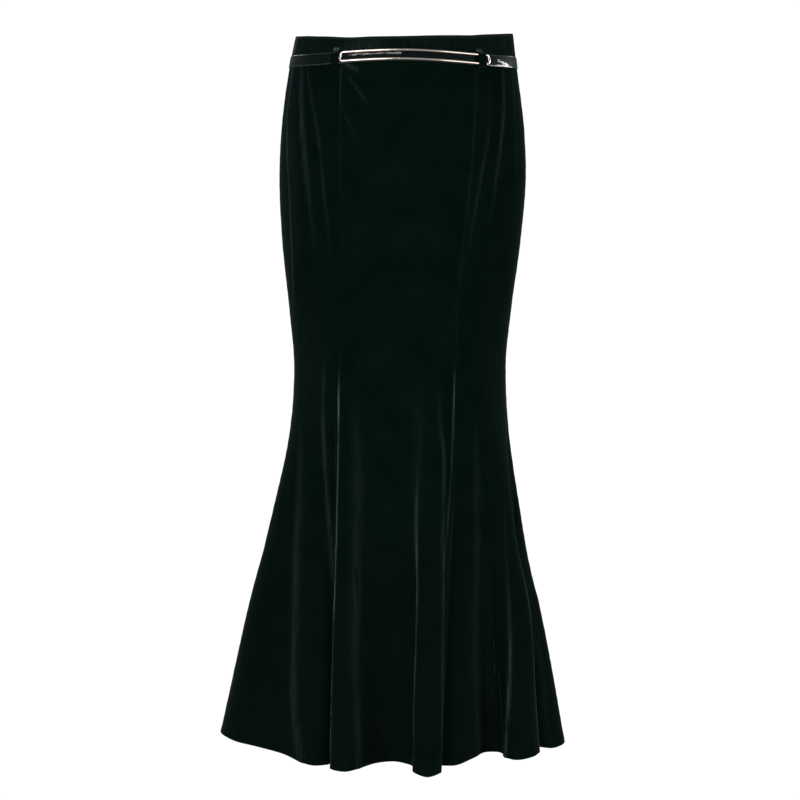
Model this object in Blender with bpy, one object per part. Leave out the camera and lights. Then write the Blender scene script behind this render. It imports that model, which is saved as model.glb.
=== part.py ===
"""Long fishtail skirt of velvet panels, with a waistband, a thin belt and a concealed zip at the back.

Sizes in the tables are millimetres and degrees. The skirt hangs from its waistband, hollow and open at waist
and hem. X runs to the right seen from the front, the front faces -Y, and Z is up. Angles are counted round the
skirt from +X: 0 is the right side, 90 the centre back, 180 the left side and 270 the centre front. Left and
right are those of somebody facing the front.
"""

import math
from collections import namedtuple

import bpy
import numpy as np

MM = 0.001

# Driving sizes of the cloth.
HEM_HEIGHT = -858.0
KNEE_HEIGHT = -387.0
PANEL_WALL = 2.0
BAND_WALL = 2.6
SEAM_GAP = 0.3
ROWS_TO_KNEE = 9
ROWS_TO_HEM = 11
ROWS_CROWD_UP = 1.3
STEPS_PER_LINE = 2

# The waist edge dips at the front and rises a little to the right and at the back.
WAIST_EDGE = 19.3
WAIST_FRONT_DIP = 9.6
WAIST_DIP_POWER = 1.2
WAIST_BACK_RISE = 3.0
WAIST_TILT = 1.7
BAND_STEP = 5.0

# The belt line: the height of the belt's middle round the waist.
BELT_HEIGHT = -14.0
BELT_FRONT_RISE = 1.5
BELT_CORNER_DROOP = 1.9
BELT_RIGHT_DROP = 1.5
BAND_SEAM_BELOW_BELT = 3.0

STRAP_WIDTH = 13.0
STRAP_THICKNESS = 1.3
STRAP_STEP = 4.0
STRAP_TIP_ANGLE = 271.5
STRAP_TAIL_ANGLE = 254.0
STRAP_LAP_ENDS = 222.0
STRAP_LAP_RAMP = 20.0
LAY_GAP = 0.3

FRAME_LEFT_ANGLE = 238.2
FRAME_RIGHT_ANGLE = 316.2
FRAME_BAR = 3.1
FRAME_BAR_SPACING = 10.4
FRAME_CORNER = 3.6
FRAME_POINTS_PER_BAR = 26
FRAME_POINTS_PER_CORNER = 5
FRAME_POINTS_PER_END = 3

LOOP_THICKNESS = 1.2
LOOP_LANDING = 2.5
LOOP_RAMP = 3.4
LOOP_END_BELOW_BELT = 12.6

SLIDER_HEIGHT = 11.0
SLIDER_WIDTH = 6.0
SLIDER_LENGTH = 9.0
SLIDER_THICKNESS = 1.6
BRIDGE_WIDTH = 1.2
BRIDGE_LENGTH = 6.4
BRIDGE_FOOT = 1.0
BRIDGE_CLEAR = 1.7
BRIDGE_THICKNESS = 0.9
BRIDGE_ROOT = 0.5
PULL_PIVOT = 0.85
PULL_THICKNESS = 0.8
PULL_LENGTH = 13.4
PULL_TOP_WIDTH = 3.8
PULL_WIDEST = 5.6
PULL_WIDEST_AT = 9.6
PULL_WINDOW_WIDTH = 2.0
PULL_WINDOW_LENGTH = 4.8
PULL_OUTLINE_STEPS = 12
BEVEL = 0.25

Section = namedtuple("Section", "name height half_width front_depth back_depth shift")
Seam = namedtuple("Seam", "name waist_angle knee_angle bow hem_x hem_y flare_start")
Line = namedtuple("Line", "name share hem_x hem_y")
Panel = namedtuple("Panel", "name lines")
Loop = namedtuple("Loop", "name angle width over")
Finish = namedtuple("Finish", "name colour roughness metallic")

# The plan of the upper skirt, an oval at each height.
SECTIONS = (
    Section("waist edge", 22.0, 132.7, 88.0, 88.0, 5.7),
    Section("belt", -14.0, 138.4, 93.0, 93.5, 4.1),
    Section("high hip", -98.0, 149.4, 106.0, 116.0, 3.5),
    Section("hip", -150.0, 151.8, 111.0, 127.0, 3.3),
    Section("thigh", -231.0, 147.3, 110.0, 122.0, 1.7),
    Section("above knee", -320.0, 137.1, 103.0, 108.0, 0.3),
    Section("knee", -387.0, 131.5, 98.0, 100.0, -0.1),
)

# Each seam keeps its angles down to the knee, bowed aside by bow degrees half way, then runs out to its place at
# the hem. flare_start is the share of the fall from knee to hem in which the cloth bends outwards, before it
# runs straight.
SEAMS = (
    Seam("right side", 0.0, 0.0, 0.0, 206.5, -26.0, 0.31),
    Seam("right back", 56.0, 60.0, 2.0, 101.0, 124.0, 0.34),
    Seam("centre back", 90.0, 90.0, 0.0, 2.0, 164.0, 0.30),
    Seam("left back", 124.0, 120.0, -2.0, -101.0, 130.0, 0.30),
    Seam("left side", 180.0, 180.0, 0.0, -230.0, 30.0, 0.28),
    Seam("left front", 238.0, 236.5, 3.6, -83.0, -146.0, 0.24),
    Seam("right front", 309.0, 300.0, -3.7, 49.0, -160.0, 0.26),
)

# Each panel lies between a seam and the next. Its lines are the crests, hollows and turned edges of its folds:
# share is a line's place between the two seams down to the knee, and hem_x, hem_y is where it meets the hem.
PANELS = (
    Panel(
        "back_side_right",
        (
            Line("flank", 0.30, 192.0, 32.0),
            Line("crest", 0.55, 158.0, 104.0),
            Line("shoulder", 0.75, 126.0, 112.0),
            Line("hollow", 0.90, 104.0, 92.0),
        ),
    ),
    Panel(
        "back_centre_right",
        (
            Line("crest", 0.20, 80.0, 150.0),
            Line("slope", 0.38, 54.0, 132.0),
            Line("hollow", 0.60, 32.0, 98.0),
            Line("rise", 0.82, 22.0, 134.0),
        ),
    ),
    Panel(
        "back_centre_left",
        (
            Line("rise", 0.18, -21.0, 138.0),
            Line("hollow", 0.40, -34.0, 100.0),
            Line("slope", 0.62, -56.0, 122.0),
            Line("crest", 0.82, -78.0, 152.0),
        ),
    ),
    Panel(
        "back_side_left",
        (
            Line("hollow", 0.10, -98.0, 98.0),
            Line("shoulder", 0.30, -128.0, 106.0),
            Line("crest", 0.50, -168.0, 100.0),
            Line("flank", 0.75, -212.0, 78.0),
        ),
    ),
    Panel(
        "front_side_left",
        (
            Line("side", 0.12, -209.0, -18.0),
            Line("flank", 0.24, -177.0, -47.0),
            Line("slope", 0.36, -145.0, -78.0),
            Line("rise", 0.46, -122.0, -113.0),
            Line("crest", 0.58, -105.0, -131.0),
            Line("shoulder", 0.80, -88.0, -128.0),
            Line("turn", 0.92, -79.0, -119.0),
        ),
    ),
    Panel(
        "front_centre",
        (
            Line("left crest", 0.12, -65.0, -158.0),
            Line("left slope", 0.24, -44.0, -138.0),
            Line("left foot", 0.37, -28.0, -120.0),
            Line("hollow", 0.50, -8.0, -113.0),
            Line("right foot", 0.60, 8.0, -124.0),
            Line("turn", 0.67, 17.0, -138.0),
            Line("edge", 0.74, 15.0, -158.0),
            Line("right crest", 0.87, 32.0, -181.0),
        ),
    ),
    Panel(
        "front_side_right",
        (
            Line("turn", 0.06, 46.0, -133.0),
            Line("foot", 0.15, 66.0, -131.0),
            Line("slope", 0.26, 88.0, -101.0),
            Line("hollow", 0.36, 106.0, -71.0),
            Line("left turn", 0.44, 122.0, -72.0),
            Line("left edge", 0.50, 125.0, -91.0),
            Line("crest", 0.60, 141.0, -107.0),
            Line("shoulder", 0.70, 162.0, -93.0),
            Line("right edge", 0.78, 171.5, -70.0),
            Line("far turn", 0.85, 169.5, -46.0),
            Line("far crest", 0.92, 188.0, -53.0),
        ),
    ),
)

# The waistband's pieces, from angle to angle.
BANDS = (
    ("waistband_back_right", 0.0, 90.0),
    ("waistband_back_left", 90.0, 180.0),
    ("waistband_front", 180.0, 360.0),
)

# The belt loops: where each stands, its width, and how far what it passes over stands off the waistband.
STRAP_OUTSIDE = LAY_GAP + STRAP_THICKNESS
LAP_OUTSIDE = STRAP_OUTSIDE + LAY_GAP + STRAP_THICKNESS
FRAME_OUTSIDE = LAP_OUTSIDE + LAY_GAP + FRAME_BAR
LOOPS = (
    Loop("belt_loop_front_left", 234.8, 9.5, LAP_OUTSIDE),
    Loop("belt_loop_front_right", 310.9, 10.0, FRAME_OUTSIDE),
    Loop("belt_loop_back_left", 125.0, 9.5, STRAP_OUTSIDE),
    Loop("belt_loop_back_right", 55.0, 9.5, STRAP_OUTSIDE),
)

VELVET = Finish("velvet", (0.004, 0.010, 0.008), 0.85, 0.0)
BAND_VELVET = Finish("band_velvet", (0.005, 0.011, 0.009), 0.80, 0.0)
PATENT = Finish("patent_leather", (0.006, 0.009, 0.008), 0.12, 0.0)
ROSE_GOLD = Finish("rose_gold", (0.86, 0.66, 0.54), 0.16, 1.0)
LACQUERED_METAL = Finish("lacquered_metal", (0.012, 0.022, 0.018), 0.35, 0.6)


def section_sizes(heights):
    """Returns half width, front depth, back depth and shift at each height, on smooth curves upright at the knee."""
    levels = np.array([section.height for section in SECTIONS])[::-1]
    sizes = np.array([section[2:] for section in SECTIONS])[::-1]
    slopes = np.gradient(sizes, levels, axis=0)
    slopes[0] = 0
    heights = np.clip(heights, levels[0], levels[-1])
    index = np.clip(np.searchsorted(levels, heights, side="right") - 1, 0, len(levels) - 2)
    span = levels[index + 1] - levels[index]
    t = ((heights - levels[index]) / span)[..., None]
    span = span[..., None]
    low, high = sizes[index], sizes[index + 1]
    low_slope, high_slope = slopes[index] * span, slopes[index + 1] * span
    value = (
        (2 * t**3 - 3 * t**2 + 1) * low
        + (t**3 - 2 * t**2 + t) * low_slope
        + (3 * t**2 - 2 * t**3) * high
        + (t**3 - t**2) * high_slope
    )
    return np.moveaxis(value, -1, 0)


def on_oval(angles, heights, offset=0.0):
    """Returns points of the upper skirt at these angles and heights, moved out level from the cloth by offset."""
    angles, heights, offset = np.broadcast_arrays(np.radians(angles), heights, offset)
    half_width, front_depth, back_depth, shift = section_sizes(heights)
    depth = np.where(np.sin(angles) < 0, front_depth, back_depth)
    outward = np.stack([np.cos(angles) / half_width, np.sin(angles) / depth], axis=-1)
    outward /= np.linalg.norm(outward, axis=-1, keepdims=True)
    x = shift + half_width * np.cos(angles) + offset * outward[..., 0]
    y = depth * np.sin(angles) + offset * outward[..., 1]
    return np.stack([x, y, heights], axis=-1)


def waist_edge_height(angles):
    """Height of the waist edge at each angle."""
    cosine, sine = np.cos(np.radians(angles)), np.sin(np.radians(angles))
    dip = WAIST_FRONT_DIP * np.maximum(-sine, 0) ** WAIST_DIP_POWER
    rise = WAIST_BACK_RISE * np.maximum(sine, 0) ** 2
    return WAIST_EDGE + WAIST_TILT * cosine - dip + rise


def belt_height(angles):
    """Height of the belt's middle at each angle: bowed up in the middle of the front, a little low on the right."""
    angles = np.radians(angles)
    front = np.where(np.sin(angles) < 0, 1.0, 0.0)
    rise = BELT_FRONT_RISE * np.sin(angles) ** 4
    droop = BELT_CORNER_DROOP * np.sin(2 * angles) ** 2
    drop = BELT_RIGHT_DROP * np.maximum(np.cos(angles), 0)
    return BELT_HEIGHT + front * (rise - droop) - drop


def band_seam_height(angles):
    """Height of the seam between waistband and skirt, which the belt hides."""
    return belt_height(angles) - BAND_SEAM_BELOW_BELT


def flare(fall, start):
    """Share of the way out to the hem, from 0 at the knee to 1: curved down to start, then straight."""
    slope = 1 / (1 - start / 2)
    curved = slope * fall**2 / (2 * start)
    straight = slope * (fall - start / 2)
    return np.where(fall < start, curved, straight)


def fold_lines():
    """Returns waist angle, knee angle, bow, hem x, hem y and flare start of each seam and fold line, in order."""
    rows = []
    ends = SEAMS[1:] + (SEAMS[0]._replace(waist_angle=360.0, knee_angle=360.0),)
    for start, panel, end in zip(SEAMS, PANELS, ends):
        rows.append(start[1:])
        for line in panel.lines:
            waist_angle, knee_angle, bow, _, _, flare_start = (
                first + line.share * (last - first) for first, last in zip(start[1:], end[1:])
            )
            rows.append((waist_angle, knee_angle, bow, line.hem_x, line.hem_y, flare_start))
    return np.array(rows).T


def line_points():
    """Returns points[row, line]: every fold line from the waistband's seam down to the hem."""
    waist_angle, knee_angle, bow, hem_x, hem_y, flare_start = fold_lines()
    top = band_seam_height(waist_angle) - SEAM_GAP
    to_knee = np.linspace(0, 1, ROWS_TO_KNEE + 1)[:, None] ** ROWS_CROWD_UP
    angles = waist_angle + to_knee * (knee_angle - waist_angle) + bow * 4 * to_knee * (1 - to_knee)
    upper = on_oval(angles, top + to_knee * (KNEE_HEIGHT - top))
    fall = np.linspace(0, 1, ROWS_TO_HEM + 1)[1:, None]
    out = flare(fall, flare_start)
    knee = upper[-1]
    x = knee[:, 0] + out * (hem_x - knee[:, 0])
    y = knee[:, 1] + out * (hem_y - knee[:, 1])
    z = np.broadcast_to(KNEE_HEIGHT + fall * (HEM_HEIGHT - KNEE_HEIGHT), x.shape)
    return np.concatenate([upper, np.stack([x, y, z], axis=-1)])


def closed_spline(points, steps):
    """Returns a centripetal Catmull-Rom loop through points[row, line], with steps samples from line to line."""
    before, start = np.roll(points, 1, axis=1), points
    end, after = np.roll(points, -1, axis=1), np.roll(points, -2, axis=1)
    gaps = [np.linalg.norm(b - a, axis=-1, keepdims=True) ** 0.5 for a, b in
            ((before, start), (start, end), (end, after))]
    knot1 = gaps[0]
    knot2 = knot1 + gaps[1]
    knot3 = knot2 + gaps[2]
    samples = []
    for step in range(steps):
        at = knot1 + gaps[1] * step / steps
        first = (before * (knot1 - at) + start * at) / knot1
        second = (start * (knot2 - at) + end * (at - knot1)) / gaps[1]
        third = (end * (knot3 - at) + after * (at - knot2)) / gaps[2]
        left = (first * (knot2 - at) + second * at) / knot2
        right = (second * (knot3 - at) + third * (at - knot1)) / (knot3 - knot1)
        samples.append((left * (knot2 - at) + right * (at - knot1)) / gaps[1])
    return np.stack(samples, axis=2).reshape(len(points), -1, 3)


def level_frame(loop):
    """Returns the level unit tangents and outward normals of loop[row, column], a closed loop in each row."""
    tangent = np.roll(loop, -1, axis=1) - np.roll(loop, 1, axis=1)
    tangent[..., 2] = 0
    tangent /= np.linalg.norm(tangent, axis=-1, keepdims=True)
    outward = np.stack([tangent[..., 1], -tangent[..., 0], np.zeros(tangent.shape[:2])], axis=-1)
    return tangent, outward


def wall_faces(rows, columns):
    """Returns the quads of a wall: an outer grid of points, then an inner one, closed along their four edges."""
    index = np.arange(rows * columns).reshape(rows, columns)
    inner = index + rows * columns
    quads = [
        np.stack([index[:-1, :-1], index[1:, :-1], index[1:, 1:], index[:-1, 1:]], axis=-1),
        np.stack([inner[:-1, :-1], inner[:-1, 1:], inner[1:, 1:], inner[1:, :-1]], axis=-1),
        np.stack([index[0, :-1], index[0, 1:], inner[0, 1:], inner[0, :-1]], axis=-1),
        np.stack([index[-1, 1:], index[-1, :-1], inner[-1, :-1], inner[-1, 1:]], axis=-1),
        np.stack([index[1:, 0], index[:-1, 0], inner[:-1, 0], inner[1:, 0]], axis=-1),
        np.stack([index[:-1, -1], index[1:, -1], inner[1:, -1], inner[:-1, -1]], axis=-1),
    ]
    return np.concatenate([quad.reshape(-1, 4) for quad in quads]).tolist()


def make_material(finish):
    """Returns the finish as a Principled material, made once."""
    material = bpy.data.materials.get(finish.name)
    if material is None:
        material = bpy.data.materials.new(finish.name)
        material.use_nodes = True
        shader = material.node_tree.nodes["Principled BSDF"]
        shader.inputs["Base Color"].default_value = (*finish.colour, 1.0)
        shader.inputs["Roughness"].default_value = finish.roughness
        shader.inputs["Metallic"].default_value = finish.metallic
    return material


def add_object(name, data, finish, location=(0.0, 0.0, 0.0)):
    """Puts data in the scene as the object called name."""
    data.materials.append(make_material(finish))
    obj = bpy.data.objects.new(name, data)
    obj.location = location
    bpy.context.scene.collection.objects.link(obj)
    return obj


def add_mesh(name, points, faces, finish, location=(0.0, 0.0, 0.0)):
    """Makes a smooth-shaded mesh object from points in millimetres."""
    mesh = bpy.data.meshes.new(name)
    mesh.from_pydata((np.reshape(points, (-1, 3)) * MM).tolist(), [], faces)
    mesh.shade_smooth()
    mesh.set_sharp_from_angle(angle=math.radians(40))
    return add_object(name, mesh, finish, location)


def add_wall(name, outer, inner, finish):
    """Makes a wall between the grids outer[row, column] and inner[row, column]."""
    rows, columns = outer.shape[:2]
    return add_mesh(name, np.concatenate([outer.reshape(-1, 3), inner.reshape(-1, 3)]),
                    wall_faces(rows, columns), finish)


def add_panels():
    """Cuts the closed skirt into its panels, half a seam gap back from each seam."""
    loop = closed_spline(line_points(), STEPS_PER_LINE)
    tangent, outward = level_frame(loop)
    start = 0
    for panel in PANELS:
        end = start + (len(panel.lines) + 1) * STEPS_PER_LINE
        columns = np.arange(start, end + 1) % loop.shape[1]
        outer = loop[:, columns]
        outer[:, 0] += tangent[:, columns[0]] * SEAM_GAP / 2
        outer[:, -1] -= tangent[:, columns[-1]] * SEAM_GAP / 2
        add_wall(f"panel_{panel.name}", outer, outer - outward[:, columns] * PANEL_WALL, VELVET)
        start = end


def gap_angle(angle):
    """Returns the angle that half a seam gap spans at the waist."""
    ahead = on_oval(angle + 1.0, BELT_HEIGHT) - on_oval(angle, BELT_HEIGHT)
    return SEAM_GAP / 2 / np.linalg.norm(ahead)


def add_waistband():
    """Makes the shaped waistband: one front and two backs, from the waist edge down to its seam."""
    for name, start, end in BANDS:
        columns = round((end - start) / BAND_STEP) + 1
        angles = np.linspace(start + gap_angle(start), end - gap_angle(end), columns)
        heights = np.stack([waist_edge_height(angles), np.zeros(columns), band_seam_height(angles)])
        outer = on_oval(angles, heights)
        add_wall(name, outer, on_oval(angles, heights, -BAND_WALL), BAND_VELVET)


def lap_offset(angles):
    """Returns how far the strap's inner face stands off: it starts on top of its own tail, then comes down."""
    down = np.clip((STRAP_LAP_ENDS - angles) / STRAP_LAP_RAMP, 0, 1)
    down = down * down * (3 - 2 * down)
    return LAY_GAP + (1 - down) * (STRAP_THICKNESS + LAY_GAP)


def add_strap():
    """Makes the belt strap: from its tip behind the frame round the left side, back and right to its tail."""
    turn = STRAP_TIP_ANGLE - (STRAP_TAIL_ANGLE - 360)
    angles = STRAP_TIP_ANGLE - np.linspace(0, turn, round(turn / STRAP_STEP) + 1)[::-1]
    half = np.array([[STRAP_WIDTH / 2], [-STRAP_WIDTH / 2]])
    heights = belt_height(angles) + half
    offset = lap_offset(angles)
    add_wall(
        "belt_strap",
        on_oval(angles, heights, offset + STRAP_THICKNESS),
        on_oval(angles, heights, offset),
        PATENT,
    )


def frame_outline():
    """Returns (along, up) points of the frame's middle line, a long rectangle with round corners, along in 0..1."""
    middle = (FRAME_LEFT_ANGLE + FRAME_RIGHT_ANGLE) / 2
    ends = on_oval(np.array([FRAME_LEFT_ANGLE, middle, FRAME_RIGHT_ANGLE]), BELT_HEIGHT)
    length = np.linalg.norm(np.diff(ends, axis=0), axis=1).sum()
    half = FRAME_BAR_SPACING / 2
    corner = FRAME_CORNER / length
    points = []
    for side in (1, -1):
        across = np.linspace(corner, 1 - corner, FRAME_POINTS_PER_BAR)[::side]
        points += [(along, side * half) for along in across]
        end, centre = ((1, 1 - corner), (0, corner))[side < 0]
        turn = np.linspace(0, math.pi / 2, FRAME_POINTS_PER_CORNER + 2)[1:-1]
        reach = end - centre
        straight = half - FRAME_CORNER
        points += [(centre + reach * math.sin(t), side * (straight + FRAME_CORNER * math.cos(t))) for t in turn]
        points += [(end, side * up) for up in np.linspace(straight, -straight, FRAME_POINTS_PER_END)]
        points += [
            (centre + reach * math.sin(t), -side * (straight + FRAME_CORNER * math.cos(t)))
            for t in turn[::-1]
        ]
    return np.array(points).T


def add_frame():
    """Makes the long open frame of the buckle: one round bar, bowed with the waist."""
    along, up = frame_outline()
    angles = FRAME_LEFT_ANGLE + along * (FRAME_RIGHT_ANGLE - FRAME_LEFT_ANGLE)
    path = on_oval(angles, belt_height(angles) + up, LAP_OUTSIDE + LAY_GAP + FRAME_BAR / 2)
    curve = bpy.data.curves.new("belt_frame", "CURVE")
    curve.dimensions = "3D"
    curve.bevel_depth = FRAME_BAR / 2 * MM
    curve.bevel_resolution = 2
    spline = curve.splines.new("POLY")
    spline.points.add(len(path) - 1)
    spline.points.foreach_set("co", np.column_stack([path * MM, np.ones(len(path))]).ravel())
    spline.use_cyclic_u = True
    spline.use_smooth = True
    add_object("belt_frame", curve, ROSE_GOLD)


def add_loops():
    """Makes each belt loop: a strip sewn flat at its ends that stands out over the belt."""
    for loop in LOOPS:
        belt = belt_height(loop.angle)
        clear = loop.over + LAY_GAP
        reach = LOOP_END_BELOW_BELT
        profile = (
            (LAY_GAP, reach),
            (LAY_GAP, reach - LOOP_LANDING),
            (clear, reach - LOOP_LANDING - LOOP_RAMP),
            (clear, LOOP_LANDING + LOOP_RAMP - reach),
            (LAY_GAP, LOOP_LANDING - reach),
            (LAY_GAP, -reach),
        )
        offset, up = np.array(profile).T
        inner = on_oval(loop.angle, belt + up, offset)
        outer = on_oval(loop.angle, belt + up, offset + LOOP_THICKNESS)
        beside = on_oval(np.array([loop.angle - 1, loop.angle + 1]), belt)
        tangent = (beside[1] - beside[0]) / np.linalg.norm(beside[1] - beside[0])
        across = np.array([-loop.width / 2, loop.width / 2])[:, None] * tangent
        add_wall(loop.name, outer[:, None] + across, inner[:, None] + across, BAND_VELVET)


def slider_seat():
    """Returns the y of the slider's outer face and its tilt-free seat on the waistband's centre back."""
    heights = SLIDER_HEIGHT + np.array([-SLIDER_LENGTH / 2, SLIDER_LENGTH / 2])
    return on_oval(90.0, heights)[:, 1].max() + LAY_GAP


def box(name, low, high, finish, location=(0.0, 0.0, 0.0)):
    """Makes a block between two corners."""
    x, y, z = zip(low, high)
    corners = [(x[i], y[j], z[k]) for i in (0, 1) for j in (0, 1) for k in (0, 1)]
    faces = [(0, 1, 3, 2), (4, 6, 7, 5), (0, 4, 5, 1), (2, 3, 7, 6), (0, 2, 6, 4), (1, 5, 7, 3)]
    return add_mesh(name, corners, faces, finish, location)


def boolean(target, tool, operation):
    """Joins tool to target, or cuts it away, and hides the tool."""
    modifier = target.modifiers.new(tool.name, "BOOLEAN")
    modifier.operation = operation
    modifier.object = tool
    tool.hide_render = True
    tool.display_type = "WIRE"


def prism(name, outline, axis, low, high, finish, location=(0.0, 0.0, 0.0)):
    """Makes a prism from a 2-D outline, which runs anticlockwise seen against axis, from low to high along it."""
    outline = np.array(outline)
    near = np.insert(outline, axis, low, axis=1)
    far = np.insert(outline, axis, high, axis=1)
    count = len(outline)
    ring = list(range(count))
    faces = [ring[::-1], [i + count for i in ring]]
    faces += [[i, (i + 1) % count, (i + 1) % count + count, i + count] for i in ring]
    obj = add_mesh(name, np.concatenate([near, far]), faces, finish, location)
    return obj


def add_slider():
    """Makes the zip slider: a plate on the centre back seam with a bridge for the pull."""
    face = SLIDER_THICKNESS
    location = (slider_centre_x(), slider_seat() * MM, SLIDER_HEIGHT * MM)
    plate = box(
        "zip_slider",
        (-SLIDER_WIDTH / 2, 0, -SLIDER_LENGTH / 2),
        (SLIDER_WIDTH / 2, face, SLIDER_LENGTH / 2),
        LACQUERED_METAL,
        location,
    )
    bevel = plate.modifiers.new("rounded edges", "BEVEL")
    bevel.width = BEVEL * MM
    bevel.segments = 2
    far, foot = BRIDGE_LENGTH / 2, BRIDGE_LENGTH / 2 - BRIDGE_FOOT
    root, inside = face - BRIDGE_ROOT, face + BRIDGE_CLEAR
    outside = inside + BRIDGE_THICKNESS
    outline = [
        (root, -far), (outside, -far), (outside, far), (root, far),
        (root, foot), (inside, foot), (inside, -foot), (root, -foot),
    ]
    bridge = prism("slider_bridge", outline, 0, -BRIDGE_WIDTH / 2, BRIDGE_WIDTH / 2, LACQUERED_METAL, location)
    boolean(plate, bridge, "UNION")


def slider_centre_x():
    """Returns the x of the centre back seam at the slider, in metres."""
    return on_oval(90.0, SLIDER_HEIGHT)[0] * MM


def pull_outline():
    """Returns (x, z) points of the pull: straight-sided at its eye, widening to a round end."""
    top = PULL_THICKNESS / 2
    radius = PULL_WIDEST / 2
    turn = np.linspace(0, math.pi, PULL_OUTLINE_STEPS + 1)
    below = PULL_LENGTH - PULL_WIDEST_AT
    round_end = [(radius * math.cos(t), -PULL_WIDEST_AT - below * math.sin(t)) for t in turn]
    neck = -PULL_WINDOW_LENGTH
    side = PULL_TOP_WIDTH / 2
    return [(side, top), (side, neck), *round_end, (-side, neck), (-side, top)][::-1]


def add_pull():
    """Makes the zip pull, hung by its eye's top bar behind the slider's bridge, with its origin on the hinge."""
    pivot = slider_seat() + SLIDER_THICKNESS + PULL_PIVOT
    location = (slider_centre_x(), pivot * MM, SLIDER_HEIGHT * MM)
    half = PULL_THICKNESS / 2
    pull = prism("zip_pull", pull_outline(), 1, -half, half, LACQUERED_METAL, location)
    window = box(
        "pull_window",
        (-PULL_WINDOW_WIDTH / 2, -PULL_THICKNESS, -PULL_WINDOW_LENGTH),
        (PULL_WINDOW_WIDTH / 2, PULL_THICKNESS, -half),
        LACQUERED_METAL,
        location,
    )
    boolean(pull, window, "DIFFERENCE")


def main():
    """Clears the scene and builds the skirt."""
    for obj in list(bpy.data.objects):
        bpy.data.objects.remove(obj, do_unlink=True)
    add_panels()
    add_waistband()
    add_strap()
    add_frame()
    add_loops()
    add_slider()
    add_pull()


main()
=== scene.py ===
"""Looks of the fishtail skirt: velvet shells with seams and creases, a patent belt in an open metal frame,
stitching and a plain studio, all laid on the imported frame.

Lengths in the tables are millimetres and angles degrees, as on a pattern sheet; meshes are in metres. X runs
to the right seen from the front, the front faces -Y and Z is up. Angles are counted from +X round the back: 0
is the right side, 90 the centre back, 180 the left side and 270 the centre front. A place on the skirt is the
number of a seam plus a share of the panel after it: 0 right side, 1 right back, 2 centre back, 3 left back,
4 left side, 5 left front and 6 right front.
"""

from __future__ import annotations

import logging
import math
from dataclasses import dataclass
from enum import Enum

import bpy
import numpy as np
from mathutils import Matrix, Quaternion, Vector


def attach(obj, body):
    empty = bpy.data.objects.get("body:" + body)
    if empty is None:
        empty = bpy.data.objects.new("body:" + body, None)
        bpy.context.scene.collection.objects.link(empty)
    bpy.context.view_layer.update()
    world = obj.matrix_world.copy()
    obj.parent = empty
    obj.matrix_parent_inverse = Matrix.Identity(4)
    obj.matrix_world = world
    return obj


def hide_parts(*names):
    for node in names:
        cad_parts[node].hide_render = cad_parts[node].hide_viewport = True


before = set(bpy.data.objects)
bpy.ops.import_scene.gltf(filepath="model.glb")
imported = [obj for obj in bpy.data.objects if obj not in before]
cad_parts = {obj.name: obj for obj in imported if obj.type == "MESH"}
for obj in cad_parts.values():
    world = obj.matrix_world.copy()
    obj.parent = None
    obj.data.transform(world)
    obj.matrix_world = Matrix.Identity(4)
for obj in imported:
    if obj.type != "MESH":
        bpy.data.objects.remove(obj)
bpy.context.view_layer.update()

MM = 0.001
SKIRT_BODY = "skirt"
CLOTH_UV = "cloth"
# Name of the mesh attribute that holds how much painted highlight each point takes.
PAINTED_SHEEN_ATTRIBUTE = "painted_sheen"
NOISE_MIDDLE = (0.3, 0.7)
SHARP_ANGLE = 50.0
EDGE_START = 8.0
TINY = 1e-9
LOG = logging.getLogger("fishtail_skirt")

Array = np.ndarray
Pair = tuple[float, float]
Triple = tuple[float, float, float]
Colour = tuple[float, float, float, float]
Socket = bpy.types.NodeSocket
Finish = bpy.types.Material


class Slot(Enum):
    """The record's material slots."""

    VELVET = "velvet"
    PATENT = "patent_leather"
    ROSE_GOLD = "rose_gold"
    ZIP_METAL = "zip_metal"


# ---------------------------------------------------------------- rows of the tables


@dataclass(frozen=True)
class Section:
    """Plan of the upper skirt at one height: an oval with its own front and back depth, shifted along X."""

    height: float
    half_width: float
    front_depth: float
    back_depth: float
    shift: float


@dataclass(frozen=True)
class Seam:
    """A seam: its angle at waist and knee, its bow between them, its hem point, and where it flares."""

    name: str
    waist_angle: float
    knee_angle: float
    bow: float
    hem_x: float
    hem_y: float
    flare_start: float


@dataclass(frozen=True)
class FoldLine:
    """A crest, hollow or turned edge of a flare fold: its share of the panel and its place at the hem."""

    share: float
    hem_x: float
    hem_y: float


@dataclass(frozen=True)
class Gore:
    """A panel of the skirt, from one seam to the next, with its fold lines."""

    name: str
    step: float
    lines: tuple[FoldLine, ...]


@dataclass(frozen=True)
class Crease:
    """A soft ridge, or a trough where depth is below 0, with its widths to either side, facing the cloth.

    Its fifth number is the painted highlight that it lays on the cloth's colour. A knot is a point of its
    line, from the top down: its height, its place, and the crease's strength there.
    """

    name: str
    left: float
    right: float
    depth: float
    painted_highlight: float
    knots: tuple[Triple, ...]


SECTIONS = (
    Section(22.0, 132.7, 88.0, 88.0, 5.7),
    Section(-14.0, 138.4, 93.0, 93.5, 4.1),
    Section(-98.0, 149.4, 106.0, 116.0, 3.5),
    Section(-150.0, 151.8, 111.0, 127.0, 3.3),
    Section(-231.0, 147.3, 110.0, 122.0, 1.7),
    Section(-320.0, 137.1, 103.0, 108.0, 0.3),
    Section(-387.0, 131.5, 98.0, 100.0, -0.1),
)

SEAMS = (
    Seam("right side", 0.0, 0.0, 0.0, 206.5, -26.0, 0.31),
    Seam("right back", 56.0, 60.0, 2.0, 101.0, 124.0, 0.34),
    Seam("centre back", 90.0, 90.0, 0.0, 2.0, 164.0, 0.30),
    Seam("left back", 124.0, 120.0, -2.0, -101.0, 130.0, 0.30),
    Seam("left side", 180.0, 180.0, 0.0, -230.0, 30.0, 0.28),
    Seam("left front", 238.0, 236.5, 3.6, -83.0, -146.0, 0.24),
    Seam("right front", 309.0, 300.0, -3.7, 49.0, -160.0, 0.26),
)

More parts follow.
